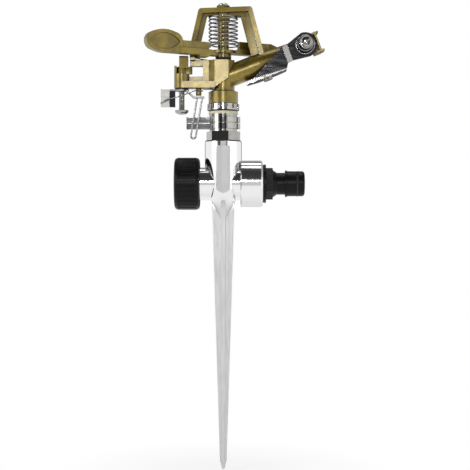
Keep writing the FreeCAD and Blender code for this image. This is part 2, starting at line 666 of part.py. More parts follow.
def make_cap():
    body = new_body("end_cap", "Dims.tube_height")
    outer = "Dims.cap_diameter / 2"
    inner = "(Dims.large_thread / 2 + Dims.thread_clearance)"
    seat = "(Dims.spigot_reach + Dims.cap_gasket_thickness)"
    end = f"({seat} + Dims.cap_end_wall)"
    edge = f"Dims.cap_round * {ROUND_SHARE}"
    shell = profile(body, "CapShell", [
        (f"-{end}", 0),
        (f"-{seat}", 0),
        (f"-{seat}", inner),
        ("-Dims.cap_reach", inner),
        ("-Dims.cap_reach", f"{outer} - Dims.cap_round"),
        (f"-(Dims.cap_reach + {edge})", f"{outer} - {edge}"),
        ("-(Dims.cap_reach + Dims.cap_round)", outer),
        (f"-({end} - Dims.cap_round)", outer),
        (f"-({end} - {edge})", f"{outer} - {edge}"),
        (f"-{end}", f"{outer} - Dims.cap_round"),
    ])
    turn(body, shell, "H_Axis")
    flute = profile(body, "CapFlute", [
        ("-Dims.cap_grip_width / 2", f"{outer} - Dims.cap_grip_depth"),
        ("Dims.cap_grip_width / 2", f"{outer} - Dims.cap_grip_depth"),
        ("Dims.cap_grip_width", f"{outer} + Dims.cap_grip_depth"),
        ("-Dims.cap_grip_width", f"{outer} + Dims.cap_grip_depth"),
    ], plane="YZ_Plane", ahead="-(Dims.cap_reach + Dims.cap_grip_margin)")
    length = f"{end} - Dims.cap_reach - 2 * Dims.cap_grip_margin"
    cut = pocket(body, flute, length)
    around(body, cut, shell, "H_Axis", "Dims.cap_grip_count")
    return body


def make_cap_gasket():
    body = new_body("cap_gasket", "Dims.tube_height")
    outer = "(Dims.large_thread / 2 + Dims.thread_clearance - Dims.gasket_clearance)"
    sketch = new_sketch(body, "CapGasketPlan", "YZ_Plane", ahead="-Dims.spigot_reach")
    add_circle(sketch, 0, 0, outer)
    add_circle(sketch, 0, 0, "Dims.cap_gasket_hole / 2")
    pad(body, sketch, "Dims.cap_gasket_thickness", backwards=True)
    return body


def make_connector():
    body = new_body("inlet_connector", "Dims.tube_height")
    neck = "Dims.neck_diameter / 2"
    nose = "Dims.nose_diameter / 2"
    bore = "Dims.connector_bore / 2"
    groove_floor = f"({nose} + Dims.o_ring_stand_out - Dims.o_ring_section)"
    groove_near = f"({NOSE_START} + Dims.o_ring_place - Dims.o_ring_section / 2)"
    groove_far = f"({NOSE_START} + Dims.o_ring_place + Dims.o_ring_section / 2)"
    edge = f"Dims.nose_round * {ROUND_SHARE}"
    shape = profile(body, "ConnectorHalf", [
        ("Dims.collar_end - Dims.shank_length", bore),
        (NOSE_END, bore),
        (NOSE_END, f"{nose} - Dims.nose_round"),
        (f"{NOSE_END} - {edge}", f"{nose} - {edge}"),
        (f"{NOSE_END} - Dims.nose_round", nose),
        (groove_far, nose),
        (groove_far, groove_floor),
        (groove_near, groove_floor),
        (groove_near, nose),
        (NOSE_START, nose),
        (NOSE_START, "Dims.ridge_diameter / 2"),
        (RIDGE_START, "Dims.ridge_diameter / 2"),
        (RIDGE_START, neck),
        (NECK_START, neck),
        (CONE_START, "Dims.connector_hex / 2"),
        (HEX_START, "Dims.connector_hex / 2"),
        (HEX_START, "Dims.flange_diameter / 2"),
        (FLANGE_FACE, "Dims.flange_diameter / 2"),
        (FLANGE_FACE, SHANK_R),
        ("Dims.collar_end - Dims.shank_length", SHANK_R),
    ])
    turn(body, shape, "H_Axis")
    nut = new_sketch(body, "ConnectorHex", "YZ_Plane", ahead=HEX_START)
    hexagon(nut, "Dims.connector_hex", 30)
    add_circle(nut, 0, 0, bore)
    pad(body, nut, "Dims.connector_hex_length")
    return body


def make_inlet_gasket():
    body = new_body("inlet_gasket", "Dims.tube_height")
    sketch = new_sketch(body, "InletGasketPlan", "YZ_Plane", ahead="Dims.collar_end")
    add_circle(sketch, 0, 0, "Dims.inlet_gasket_diameter / 2")
    add_circle(sketch, 0, 0, THREAD_R)
    pad(body, sketch, "Dims.inlet_gasket_thickness")
    return body


def make_o_ring():
    body = new_body("connector_o_ring", "Dims.tube_height")
    body.setExpression("Placement.Base.x", f"{NOSE_START} + Dims.o_ring_place")
    centre = "(Dims.nose_diameter / 2 + Dims.o_ring_stand_out - Dims.o_ring_section / 2)"
    section = new_sketch(body, "RingSection", "XZ_Plane")
    many_sided(section, "Dims.o_ring_section / 2", 8, 0, centre)
    turn(body, section, "H_Axis")
    return body


# ---------------------------------------------------------------- bearing


def make_nipple():
    body = new_body("bearing_nipple")
    bearing = "(Dims.sleeve_diameter / 2 + Dims.running_clearance)"
    neck = "Dims.nipple_diameter / 2"
    shape = profile(body, "NippleHalf", [
        (bearing, NIPPLE_END),
        (SHANK_R, NIPPLE_END),
        (SHANK_R, HEX_FOOT),
        ("Dims.nipple_hex / 2", HEX_FOOT),
        ("Dims.nipple_hex / 2", HEX_TOP),
        ("Dims.band_diameter / 2", HEX_TOP),
        ("Dims.band_diameter / 2", BAND_TOP),
        (neck, BAND_TOP),
        (neck, RIM_FOOT),
        ("Dims.rim_diameter / 2", RIM_FOOT),
        ("Dims.rim_diameter / 2", NIPPLE_TOP),
        (bearing, NIPPLE_TOP),
    ])
    turn(body, shape)
    nut = new_sketch(body, "NippleHex", "XY_Plane", ahead=HEX_FOOT)
    hexagon(nut, "Dims.nipple_hex", "-Dims.nipple_hex_turn")
    add_circle(nut, 0, 0, bearing)
    pad(body, nut, "Dims.nipple_hex_height")
    seat = new_sketch(body, "SpringPocket", "XY_Plane", ahead=NIPPLE_TOP)
    add_circle(seat, 0, 0, "Dims.pocket_diameter / 2")
    pocket(body, seat, "Dims.pocket_depth")
    return body


def make_sleeve():
    body = new_body("bearing_sleeve")
    foot_top = f"({NIPPLE_END} - Dims.slip_washer_thickness - Dims.seal_washer_thickness)"
    shape = profile(body, "SleeveHalf", [
        ("Dims.sleeve_bore / 2", f"{foot_top} - Dims.sleeve_foot_thickness"),
        ("Dims.sleeve_foot_diameter / 2", f"{foot_top} - Dims.sleeve_foot_thickness"),
        ("Dims.sleeve_foot_diameter / 2", foot_top),
        ("Dims.sleeve_diameter / 2", foot_top),
        ("Dims.sleeve_diameter / 2", f"{HEAD_FOOT} + Dims.sleeve_thread_length"),
        ("Dims.sleeve_bore / 2", f"{HEAD_FOOT} + Dims.sleeve_thread_length"),
    ])
    turn(body, shape)
    return body


def make_bearing_spring():
    wire = number("Dims.bearing_wire / 2")
    inside = number("Dims.sleeve_diameter / 2")
    outside = number("Dims.pocket_diameter / 2")
    radius = (inside + outside) / 2 + wire / 4
    points = coil_points(radius, radius, number("Dims.pocket_depth") - 2 * wire,
                         number("Dims.bearing_coils"), per_turn=12)
    foot = number(f"{NIPPLE_TOP} - Dims.pocket_depth") + wire
    return feature_of("bearing_spring", wire_solid(points, wire), Placement(Vector(0, 0, foot), Rotation()))


def make_nut():
    body = new_body("packing_nut", NUT_FOOT)
    outer = "Dims.nut_diameter / 2"
    bore = "(Dims.sleeve_diameter / 2 + Dims.thread_clearance)"
    shape = profile(body, "NutHalf", [
        (bore, 0),
        (outer, 0),
        (outer, "Dims.nut_height"),
        ("Dims.nut_neck_diameter / 2", "Dims.nut_height"),
        ("Dims.nut_neck_diameter / 2", "Dims.nut_height + Dims.nut_neck_height"),
        (bore, "Dims.nut_height + Dims.nut_neck_height"),
    ])
    turn(body, shape)
    slot = profile(body, "NutSlot", [
        (f"{outer} - Dims.nut_slot_depth", "-Dims.nut_slot_width / 2"),
        (f"{outer} + Dims.nut_slot_depth", "-Dims.nut_slot_width / 2"),
        (f"{outer} + Dims.nut_slot_depth", "Dims.nut_slot_width / 2"),
        (f"{outer} - Dims.nut_slot_depth", "Dims.nut_slot_width / 2"),
    ], plane="XY_Plane", ahead="Dims.nut_height")
    cut = pocket(body, slot, "Dims.nut_height - Dims.nut_rim_height")
    around(body, cut, shape, "V_Axis", "Dims.nut_slot_count")
    return body


def make_collar(name, foot):
    """A friction collar: a sprung strip around the nipple, with two ears to pinch and a loop opposite."""
    body = new_body(name, foot)
    bore = "(Dims.nipple_diameter / 2 + Dims.running_clearance)"
    outer = f"({bore} + Dims.friction_thickness)"
    band = new_sketch(body, f"{name}_band", "XY_Plane")
    add_circle(band, 0, 0, outer)
    pad(body, band, "Dims.friction_height")
    loop = new_sketch(body, f"{name}_loop", "XY_Plane")
    add_circle(loop, outer, 0, "Dims.loop_radius")
    pad(body, loop, "Dims.friction_height")
    near = "Dims.ear_gap / 2"
    far = f"({near} + Dims.friction_thickness)"
    inner_end = f"-({bore} - Dims.friction_thickness)"
    for side, word in ((1, "back"), (-1, "front")):
        ear = profile(body, f"{name}_{word}_ear", [
            ("-Dims.ear_reach", f"{side} * {near}"),
            (inner_end, f"{side} * {near}"),
            (inner_end, f"{side} * {far}"),
            ("-(Dims.ear_reach - Dims.friction_thickness)", f"{side} * {far}"),
            ("-(Dims.ear_reach - Dims.friction_thickness)", f"{side} * ({far} + Dims.ear_tip)"),
            ("-Dims.ear_reach", f"{side} * ({far} + Dims.ear_tip)"),
        ], plane="XY_Plane")
        pad(body, ear, "Dims.friction_height")
    hole = new_sketch(body, f"{name}_bore", "XY_Plane", ahead="Dims.friction_height")
    add_circle(hole, 0, 0, bore)
    pocket(body, hole, "Dims.friction_height")
    eye = new_sketch(body, f"{name}_eye", "XY_Plane", ahead="Dims.friction_height")
    add_circle(eye, outer, 0, "Dims.loop_radius - Dims.friction_thickness")
    pocket(body, eye, "Dims.friction_height")
    gap = profile(body, f"{name}_gap", [
        (f"-({outer} + Dims.friction_thickness)", f"-{near}"),
        (0, f"-{near}"),
        (0, near),
        (f"-({outer} + Dims.friction_thickness)", near),
    ], plane="XY_Plane", ahead="Dims.friction_height")
    pocket(body, gap, "Dims.friction_height")
    return body


# ---------------------------------------------------------------- head casting


def add_body_block(body):
    """Foot, stem and body: the flat front face ends below in a slanted edge over the round stem."""
    stem = "Dims.stem_diameter / 2"
    crown = f"({JET_HEIGHT} + Dims.barrel_diameter / 3)"
    foot = profile(body, "Foot", [
        (0, 0),
        ("Dims.foot_diameter / 2", 0),
        ("Dims.foot_diameter / 2", "Dims.foot_height"),
        (stem, "Dims.foot_height + (Dims.foot_diameter - Dims.stem_diameter) / 6"),
        (stem, crown),
        (0, crown),
    ])
    turn(body, foot)
    block = profile(body, "Block", [
        ("-Dims.body_left", "Dims.body_low_left"),
        ("Dims.body_right", "Dims.body_low_right"),
        ("Dims.body_right", "Dims.body_height"),
        ("-Dims.body_left", "Dims.body_height"),
    ])
    pad(body, block, "Dims.body_depth", both_ways=True)
    bevels = new_sketch(body, "BlockBevels", "XY_Plane", ahead="Dims.body_height")
    for side in (-1, 1):
        add_loop(bevels, [
            ("Dims.body_right - Dims.body_bevel", f"{side} * Dims.body_depth / 2"),
            ("Dims.body_right", f"{side} * Dims.body_depth / 2"),
            ("Dims.body_right", f"{side} * (Dims.body_depth / 2 - Dims.body_bevel)"),
        ])
    pocket(body, bevels, "Dims.body_height - Dims.foot_height")
    slope_end = "(Dims.body_left + Dims.flank_reach) / 2"
    flank = profile(body, "Flank", [
        ("-Dims.body_left", "-Dims.body_depth / 2"),
        ("-Dims.body_left", "Dims.body_depth / 2"),
        (f"-{slope_end}", "Dims.flank_depth / 2"),
        ("-Dims.flank_reach", "Dims.flank_depth / 2"),
        ("-Dims.flank_reach", "-Dims.flank_depth / 2"),
        (f"-{slope_end}", "-Dims.flank_depth / 2"),
    ], plane="XY_Plane", ahead="Dims.boss_foot")
    pad(body, flank, "Dims.body_height - Dims.boss_foot")


def add_bracket(body):
    """The trip gear's bracket: a plate with a web on it, and a boss with a guard wall at its end."""
    back = "-(Dims.trip_y - Dims.boss_diameter / 2)"
    plate = profile(body, "BracketPlate", [
        ("-Dims.trip_x", "-(Dims.trip_y + Dims.boss_diameter / 2)"),
        ("-Dims.body_left", "-Dims.bracket_depth"),
        ("-Dims.body_left", back),
        ("-Dims.trip_x", back),
    ], plane="XY_Plane", ahead="Dims.boss_foot")
    pad(body, plate, "Dims.bracket_thickness")
    web_top = "(Dims.boss_foot + Dims.bracket_thickness + Dims.bracket_web_height)"
    web = profile(body, "BracketWeb", [
        ("-Dims.trip_x", "Dims.boss_foot"),
        ("-Dims.body_left", "Dims.boss_foot"),
        ("-Dims.body_left", web_top),
        ("-Dims.trip_x", web_top),
    ], ahead="Dims.trip_y - Dims.boss_diameter / 2")
    pad(body, web, "Dims.bracket_thickness")
    boss = new_sketch(body, "Boss", "XY_Plane", ahead="Dims.boss_foot")
    add_circle(boss, "-Dims.trip_x", "-Dims.trip_y", "Dims.boss_diameter / 2")
    pad(body, boss, "Dims.boss_height + Dims.boss_guard")
    cut_left = "-(Dims.trip_x + Dims.dog_cam_diameter / 2)"
    far = "Dims.boss_diameter"
    cam_room = profile(body, "CamRoom", [
        (cut_left, f"-(Dims.trip_y + {far})"),
        ("-(Dims.trip_x - Dims.boss_diameter)", f"-(Dims.trip_y + {far})"),
        ("-(Dims.trip_x - Dims.boss_diameter)", f"-(Dims.trip_y - {far})"),
        (cut_left, f"-(Dims.trip_y - {far})"),
    ], plane="XY_Plane", ahead=f"{BOSS_TOP} + Dims.boss_guard")
    pocket(body, cam_room, "Dims.boss_guard")


def add_yoke(body):
    """The yoke over the arm: a web with a wider rim around its outside, and a boss under its top bar."""
    corner = "Dims.yoke_corner"
    crown_left = "(Dims.yoke_height - Dims.yoke_left_drop)"
    shoulder = f"(Dims.yoke_height - {corner})"
    shoulder_left = f"({crown_left} - {corner})"
    left_foot = "-Dims.yoke_left_foot"
    left_top = "-Dims.yoke_left_top"
    right_lean = f"((Dims.yoke_right_foot - Dims.yoke_right_top) / ({shoulder} - Dims.yoke_foot_height))"
    left_lean = f"((Dims.yoke_left_foot - Dims.yoke_left_top) / ({shoulder_left} - Dims.yoke_left_bend))"
    outside = [
        ("Dims.yoke_right_foot", "Dims.yoke_foot_height"),
        ("Dims.yoke_right_top", shoulder, f"{corner} * 1.2"),
        (f"Dims.yoke_right_top - {corner}", "Dims.yoke_height"),
        (f"{left_top} + {corner}", crown_left, f"{corner} * 1.2"),
        (left_top, shoulder_left),
        (left_foot, "Dims.yoke_left_bend"),
        (left_foot, "Dims.body_height"),
    ]
    under_left = f"{left_lean} * ({shoulder_left} - {BAR_INNER_TOP})"
    under_right = f"{right_lean} * ({shoulder} - {BAR_INNER_TOP})"
    inside = [
        ("Dims.left_leg_width - Dims.yoke_left_foot", "Dims.body_height"),
        ("Dims.left_leg_width - Dims.yoke_left_foot", "Dims.yoke_left_bend"),
        (f"Dims.left_leg_width - Dims.yoke_left_top - {under_left}", BAR_INNER_TOP),
        (f"Dims.yoke_right_top - Dims.leg_width + {under_right}", BAR_INNER_TOP),
        ("Dims.yoke_right_foot - Dims.leg_width", "Dims.yoke_foot_height"),
        ("Dims.yoke_right_foot - Dims.leg_width", "Dims.yoke_foot_height - Dims.rim_thickness"),
    ]
    web = profile(body, "YokeWeb", outside + inside)
    pad(body, web, "Dims.web_thickness", both_ways=True)
    thick = "Dims.rim_thickness"
    under_rim = [
        (f"{left_foot} + {thick}", "Dims.body_height"),
        (f"{left_foot} + {thick}", "Dims.yoke_left_bend"),
        (f"{left_top} + {thick} - {left_lean} * ({thick} - {corner})", f"{crown_left} - {thick}"),
        (f"Dims.yoke_right_top - {thick} + {right_lean} * ({thick} - {corner})", f"Dims.yoke_height - {thick}"),
        (f"Dims.yoke_right_foot - {thick}", "Dims.yoke_foot_height"),
    ]
    rim = profile(body, "YokeRim", outside + under_rim)
    pad(body, rim, "Dims.rim_width", both_ways=True)
    leg_inner = "(Dims.left_leg_width - Dims.yoke_left_foot)"
    foot = profile(body, "LeftFoot", [
        (left_foot, "Dims.foot_web_low"),
        ("-Dims.body_left", "Dims.foot_web_low"),
        ("-Dims.body_left", "Dims.body_height"),
        (leg_inner, "Dims.body_height + Dims.foot_web_front"),
        (leg_inner, "Dims.body_height + Dims.left_leg_width"),
        (left_foot, "Dims.body_height + Dims.left_leg_width"),
    ], ahead="-Dims.foot_web_back")
    pad(body, foot, "Dims.foot_web_back + Dims.foot_web_front")
    boss = new_sketch(body, "TopBoss", "XY_Plane", ahead=YOKE_CROWN)
    add_circle(boss, 0, 0, "Dims.top_boss_diameter / 2")
    pad(body, boss, f"{YOKE_CROWN} - {HUB_TOP} - Dims.arm_sleeve_gap - {SLEEVE_LENGTH}", backwards=True)


def make_barrel():
    """The barrel, along the jet, with the pad that the jet bracket is riveted to."""
    body = along_jet("casting_barrel")
    root = "Dims.barrel_diameter / 2"
    shape = profile(body, "BarrelHalf", [
        (0, 0),
        ("Dims.barrel_length", 0),
        ("Dims.barrel_length", "Dims.barrel_end_diameter / 2"),
        ("Dims.barrel_taper_start", root),
        (0, root),
    ])
    turn(body, shape, "H_Axis")
    seat = new_sketch(body, "ShelfPad", "XY_Plane", ahead="-Dims.shelf_drop")
    add_circle(seat, "Dims.rivet_place", 0, "Dims.pad_diameter / 2")
    pad(body, seat, "Dims.shelf_drop / 2")
    return body


def make_casting():
    """The head casting: frame and barrel cast in one, then bored."""
    frame = new_body("casting_frame", HEAD_FOOT)
    add_body_block(frame)
    add_bracket(frame)
    add_yoke(frame)
    shell = joined("casting_shell", [frame, make_barrel()])

    tools = new_body("casting_bores", HEAD_FOOT)
    waterway = profile(tools, "UprightBores", [
        (0, 0),
        ("Dims.sleeve_diameter / 2", 0),
        ("Dims.sleeve_diameter / 2", "Dims.sleeve_thread_length"),
        ("Dims.sleeve_bore / 2", "Dims.sleeve_thread_length"),
        ("Dims.sleeve_bore / 2", JET_HEIGHT),
        (0, f"{JET_HEIGHT} + Dims.sleeve_bore / 2"),
    ])
    turn(tools, waterway)
    pin_hole = doc.addObject("Part::Cylinder", "pin_hole")
    pin_hole.setExpression("Radius", "Dims.pin_diameter / 2")
    pin_hole.setExpression("Height", f"{YOKE_CROWN} - Dims.body_height + Dims.pin_depth")
    pin_hole.setExpression("Placement.Base.z", f"{HEAD_FOOT} + Dims.body_height - Dims.pin_depth")
    trip_hole = doc.addObject("Part::Cylinder", "trip_hole")
    trip_hole.setExpression("Radius", "Dims.trip_screw_diameter / 2 + Dims.running_clearance")
    trip_hole.setExpression("Height", "Dims.boss_height + Dims.boss_guard")
    trip_hole.setExpression("Placement.Base.x", "-Dims.trip_x")
    trip_hole.setExpression("Placement.Base.y", "-Dims.trip_y")
    trip_hole.setExpression("Placement.Base.z", f"{HEAD_FOOT} + Dims.boss_foot")
    stop_hole = doc.addObject("Part::Cylinder", "stop_hole")
    stop_hole.setExpression("Radius", "Dims.pin_stop_diameter / 2")
    stop_hole.setExpression("Height", "Dims.pin_stop_depth")
    stop_hole.setExpression("Placement.Base.x", "Dims.pin_stop_x - Dims.trip_x")
    stop_hole.setExpression("Placement.Base.y", "-Dims.trip_y")
    stop_hole.setExpression("Placement.Base.z", f"{HEAD_FOOT} + Dims.boss_foot")
    jet_bore = along_jet("jet_bore")
    bores = profile(jet_bore, "JetBores", [
        (0, 0),
        ("Dims.barrel_length", 0),
        ("Dims.barrel_length", "Dims.barrel_bore / 2"),
        (0, "Dims.barrel_bore / 2"),
    ])
    turn(jet_bore, bores, "H_Axis")
    rivet_hole = new_sketch(jet_bore, "RivetHole", "XY_Plane", ahead="-Dims.shelf_drop")
    add_circle(rivet_hole, "Dims.rivet_place", 0, "Dims.rivet_diameter / 2")
    pad(jet_bore, rivet_hole, "Dims.shelf_drop - Dims.barrel_bore / 2")
    drill = joined("casting_drill", [tools, pin_hole, trip_hole, stop_hole, jet_bore])
    casting = doc.addObject("Part::Cut", "head_casting")
    casting.Label = "head_casting"
    casting.Base = shell
    casting.Tool = drill
    return casting


def make_nozzle():
    body = along_jet("nozzle")
    thread = "(Dims.barrel_bore / 2 - Dims.thread_clearance)"
    start = "(Dims.barrel_length - Dims.nozzle_thread_length)"
    end = "(Dims.barrel_length + Dims.nozzle_hex_length)"
    orifice = "Dims.nozzle_orifice / 2"
    shape = profile(body, "NozzleHalf", [
        (start, f"{thread} - Dims.sheet_thickness"),
        ("Dims.barrel_length", orifice),
        (end, orifice),
        (end, "Dims.nozzle_hex / 2"),
        ("Dims.barrel_length", "Dims.nozzle_hex / 2"),
        ("Dims.barrel_length", thread),
        (start, thread),
    ])
    turn(body, shape, "H_Axis")
    nut = new_sketch(body, "NozzleHex", "YZ_Plane", ahead="Dims.barrel_length")
    hexagon(nut, "Dims.nozzle_hex", 0)
    add_circle(nut, 0, 0, orifice)
    pad(body, nut, "Dims.nozzle_hex_length")
    return body


# ---------------------------------------------------------------- hammer arm


def make_arm():
    """Hub and straight arm with its paddle, in the arm's own direction."""
    body = new_body("arm_bar", f"{HEAD_FOOT} + {ARM_FOOT}")
    body.Placement = Placement(body.Placement.Base, Rotation(Vector(0, 0, 1), 1))
    body.setExpression("Placement.Rotation.Angle", "Dims.arm_rest_angle")
    disc_foot = "Dims.arm_neck_height"
    disc_top = "(Dims.arm_neck_height + Dims.hub_height)"
    hub = profile(body, "Hub", [
        (0, 0),
        ("Dims.arm_neck_diameter / 2", 0),
        ("Dims.arm_neck_diameter / 2", disc_foot),
        ("Dims.hub_diameter / 2", disc_foot),
        ("Dims.hub_diameter / 2", disc_top),
        ("Dims.arm_sleeve_diameter / 2", disc_top),
        ("Dims.arm_sleeve_diameter / 2", f"{disc_top} + {SLEEVE_LENGTH}"),
        (0, f"{disc_top} + {SLEEVE_LENGTH}"),
    ])
    turn(body, hub)
    left_end = "-(Dims.paddle_centre - Dims.paddle_length / 2 + Dims.paddle_border)"
    left_foot = f"({disc_foot} - Dims.arm_drop)"
    low = profile(body, "LowBand", [
        (left_end, left_foot),
        ("-Dims.arm_sleeve_diameter / 2", left_foot),
        ("-Dims.arm_sleeve_diameter / 2", f"{disc_foot} + Dims.hub_height / 2"),
        ("-Dims.bar_inner", f"{left_foot} + Dims.bar_low_height"),
        (left_end, f"{left_foot} + Dims.bar_low_height"),
    ])
    pad(body, low, "Dims.bar_depth", both_ways=True)
    low_right = profile(body, "LowBandRight", [
        ("Dims.arm_neck_diameter / 2", disc_foot),
        ("Dims.bar_right", disc_foot),
        ("Dims.bar_right", f"{disc_foot} + Dims.bar_low_height"),
        ("Dims.bar_inner", f"{disc_foot} + Dims.bar_low_height"),
        ("Dims.arm_neck_diameter / 2", disc_top),
    ])
    pad(body, low_right, "Dims.bar_depth", both_ways=True)
    for side, end, foot in ((-1, left_end, left_foot), (1, "Dims.bar_right", disc_foot)):
        high = profile(body, f"HighBand{side + 1}", [
            (f"{side} * Dims.bar_inner", foot),
            (end, foot),
            (end, f"{foot} + Dims.arm_height"),
            (f"{side} * Dims.bar_inner", f"{foot} + Dims.arm_height"),
        ])
        pad(body, high, "Dims.bar_high_depth", both_ways=True)
    knob = profile(body, "Knob", [
        ("-Dims.knob_far", f"{left_foot} + Dims.sheet_thickness"),
        ("-Dims.knob_far", left_foot),
        ("-(Dims.knob_far - Dims.knob_height)", f"{left_foot} - Dims.knob_height"),
        ("-(Dims.knob_near + Dims.knob_height)", f"{left_foot} - Dims.knob_height"),
        ("-Dims.knob_near", left_foot),
        ("-Dims.knob_near", f"{left_foot} + Dims.sheet_thickness"),
    ])
    pad(body, knob, "Dims.bar_depth", both_ways=True)
    add_paddle(body, left_foot)
    bore = profile(body, "PinBore", [
        (0, 0),
        ("Dims.pin_diameter / 2 + Dims.running_clearance", 0),
        ("Dims.pin_diameter / 2 + Dims.running_clearance", f"{disc_top} + {SLEEVE_LENGTH}"),
        (0, f"{disc_top} + {SLEEVE_LENGTH}"),
    ])
    turn_out(body, bore)
    return body


def oval(length, width, centre, level):
    """An oval loop of four arcs."""
    shoulder = f"{length} * 0.3"
    side_bow = f"((({length}) * 0.3) ^ 2 + (({width}) * 0.1) ^ 2) / (({width}) * 0.2)"
    end_bow = f"((({width}) * 0.4) ^ 2 + (({length}) * 0.2) ^ 2) / (({length}) * 0.4)"
    return [
        (f"{centre} - {shoulder}", f"{level} - {width} * 0.4", side_bow),
        (f"{centre} + {shoulder}", f"{level} - {width} * 0.4", end_bow),
        (f"{centre} + {shoulder}", f"{level} + {width} * 0.4", side_bow),
        (f"{centre} - {shoulder}", f"{level} + {width} * 0.4", end_bow),
    ]


def eye(length, width, centre, level):
    """An eye-shaped loop of two arcs."""
    bow = f"((({length}) / 2) ^ 2 + (({width}) / 2) ^ 2) / ({width})"
    return [
        (f"{centre} - {length} / 2", level, bow),
        (f"{centre} + {length} / 2", level, bow),
    ]


def add_paddle(body, foot):
    """The counterweight paddle, an oval with a raised border around a plain recess on each face."""
    centre = "-Dims.paddle_centre"
    level = f"({foot} + Dims.paddle_width / 2)"
    blade = profile(body, "Paddle", oval("Dims.paddle_length", "Dims.paddle_width", centre, level))
    pad(body, blade, "Dims.paddle_depth", both_ways=True)
    near = "-(Dims.paddle_centre - Dims.paddle_length / 2)"
    root = profile(body, "PaddleRoot", [
        (centre, foot),
        (near, foot),
        (near, f"{foot} + Dims.arm_height"),
        (centre, f"{foot} + Dims.arm_height"),
    ])
    pad(body, root, "Dims.paddle_depth", both_ways=True)
    length = "(Dims.paddle_length - 2 * Dims.paddle_border)"
    width = "(Dims.paddle_width - 2 * Dims.paddle_border)"
    front = profile(body, "PaddlePanelFront", eye(length, width, centre, level), ahead="Dims.paddle_depth / 2")
    pocket(body, front, "Dims.paddle_recess")
    back = profile(body, "PaddlePanelBack", eye(length, width, centre, level), ahead="-Dims.paddle_depth / 2")
    pocket(body, back, "Dims.paddle_recess", backwards=True)


def make_tail():
    """The arm's tail: it leaves the straight arm and rises beside the barrel to the spoon."""
    body = new_body("arm_tail", f"{HEAD_FOOT} + {HUB_FOOT}")
    body.Placement = Placement(body.Placement.Base, Rotation(Vector(0, 0, -1), 1))
    body.setExpression("Placement.Rotation.Angle", "Dims.tail_angle")
    body.setExpression("Placement.Base.x", "Dims.bar_right * cos(Dims.arm_rest_angle)")
    body.setExpression("Placement.Base.y", "Dims.bar_right * sin(Dims.arm_rest_angle)")
    slope = "(Dims.tail_rise / Dims.tail_length)"
    bend = "(Dims.bar_depth / 2)"
    side = profile(body, "TailSide", [
        (f"-{bend}", 0),
        (bend, 0),
        ("Dims.tail_length", "Dims.tail_rise - Dims.rim_thickness"),
        ("Dims.tail_length", "Dims.tail_rise - Dims.rim_thickness + Dims.tail_width"),
        (f"2 * {bend}", f"Dims.arm_height - Dims.rim_thickness + {slope} * {bend}"),
        (f"{bend} / 2", "Dims.arm_height"),
        (f"-{bend}", "Dims.arm_height"),
    ])
    pad(body, side, "Dims.tail_depth", both_ways=True)
    return body


def make_spoon():
    """The spoon: two flanges and a curved vane that throws the jet aside."""
    body = along_jet("arm_spoon")
    reach = "Dims.spoon_half_height"
    wall = "Dims.spoon_thickness"
    outer_round = f"(Dims.vane_round + {wall})"
    vane = profile(body, "Vane", [
        ("Dims.vane_place", "-Dims.spoon_front"),
        (f"Dims.vane_place + {wall}", "-Dims.spoon_front"),
        (f"Dims.vane_place + {wall}", f"Dims.spoon_back - {outer_round}", outer_round),
        ("Dims.vane_place - Dims.vane_round", "Dims.spoon_back"),
        ("Dims.spoon_start", "Dims.spoon_back"),
        ("Dims.spoon_start", f"Dims.spoon_back - {wall}"),
        ("Dims.vane_place - Dims.vane_round", f"Dims.spoon_back - {wall}", "-Dims.vane_round"),
        ("Dims.vane_place", f"Dims.spoon_back - {wall} - Dims.vane_round"),
    ], plane="XY_Plane", ahead=f"-({reach} + {wall} / 2)")
    pad(body, vane, f"2 * {reach} + {wall}")
    for side, word in ((1, "Upper"), (-1, "Lower")):
        flange = profile(body, f"{word}Flange", [
            ("Dims.spoon_start", "-Dims.spoon_front / 2"),
            (f"Dims.spoon_start + {wall}", "-Dims.spoon_front"),
            ("Dims.spoon_end", "-Dims.spoon_front"),
            ("Dims.spoon_end", "Dims.spoon_back - Dims.vane_round"),
            ("Dims.vane_place", "Dims.spoon_back"),
            ("Dims.spoon_start", "Dims.spoon_back"),
        ], plane="XY_Plane", ahead=f"{side} * {reach} - {wall} / 2")
        pad(body, flange, wall)
    return body


def make_hammer():
    """The hammer arm, cast in one."""
    return joined("hammer_arm", [make_arm(), make_tail(), make_spoon()])


def make_pin():
    """The fulcrum pin: a screw through the yoke's boss and the arm into the body."""
    body = new_body("fulcrum_pin", HEAD_FOOT)
    shank = "(Dims.pin_diameter / 2)"
    head = "(Dims.pin_head_diameter / 2)"
    top = f"({YOKE_CROWN} + Dims.pin_head_height)"
    shape = profile(body, "PinHalf", [
        (0, "Dims.body_height - Dims.pin_depth"),
        (shank, "Dims.body_height - Dims.pin_depth"),
        (shank, YOKE_CROWN),
        (head, YOKE_CROWN),
        (head, f"{top} - Dims.pin_head_height / 2"),
        (f"{head} * 0.8", f"{top} - Dims.pin_head_height / 6"),
        (f"{head} / 2", top),
        (0, top),
    ])
    turn(body, shape)
    slot = profile(body, "PinSlot", [
        (f"-{head}", f"-{shank} / 5"),
        (head, f"-{shank} / 5"),
        (head, f"{shank} / 5"),
        (f"-{head}", f"{shank} / 5"),
    ], plane="XY_Plane", ahead=top)
    pocket(body, slot, "Dims.pin_head_height / 2")
    return body


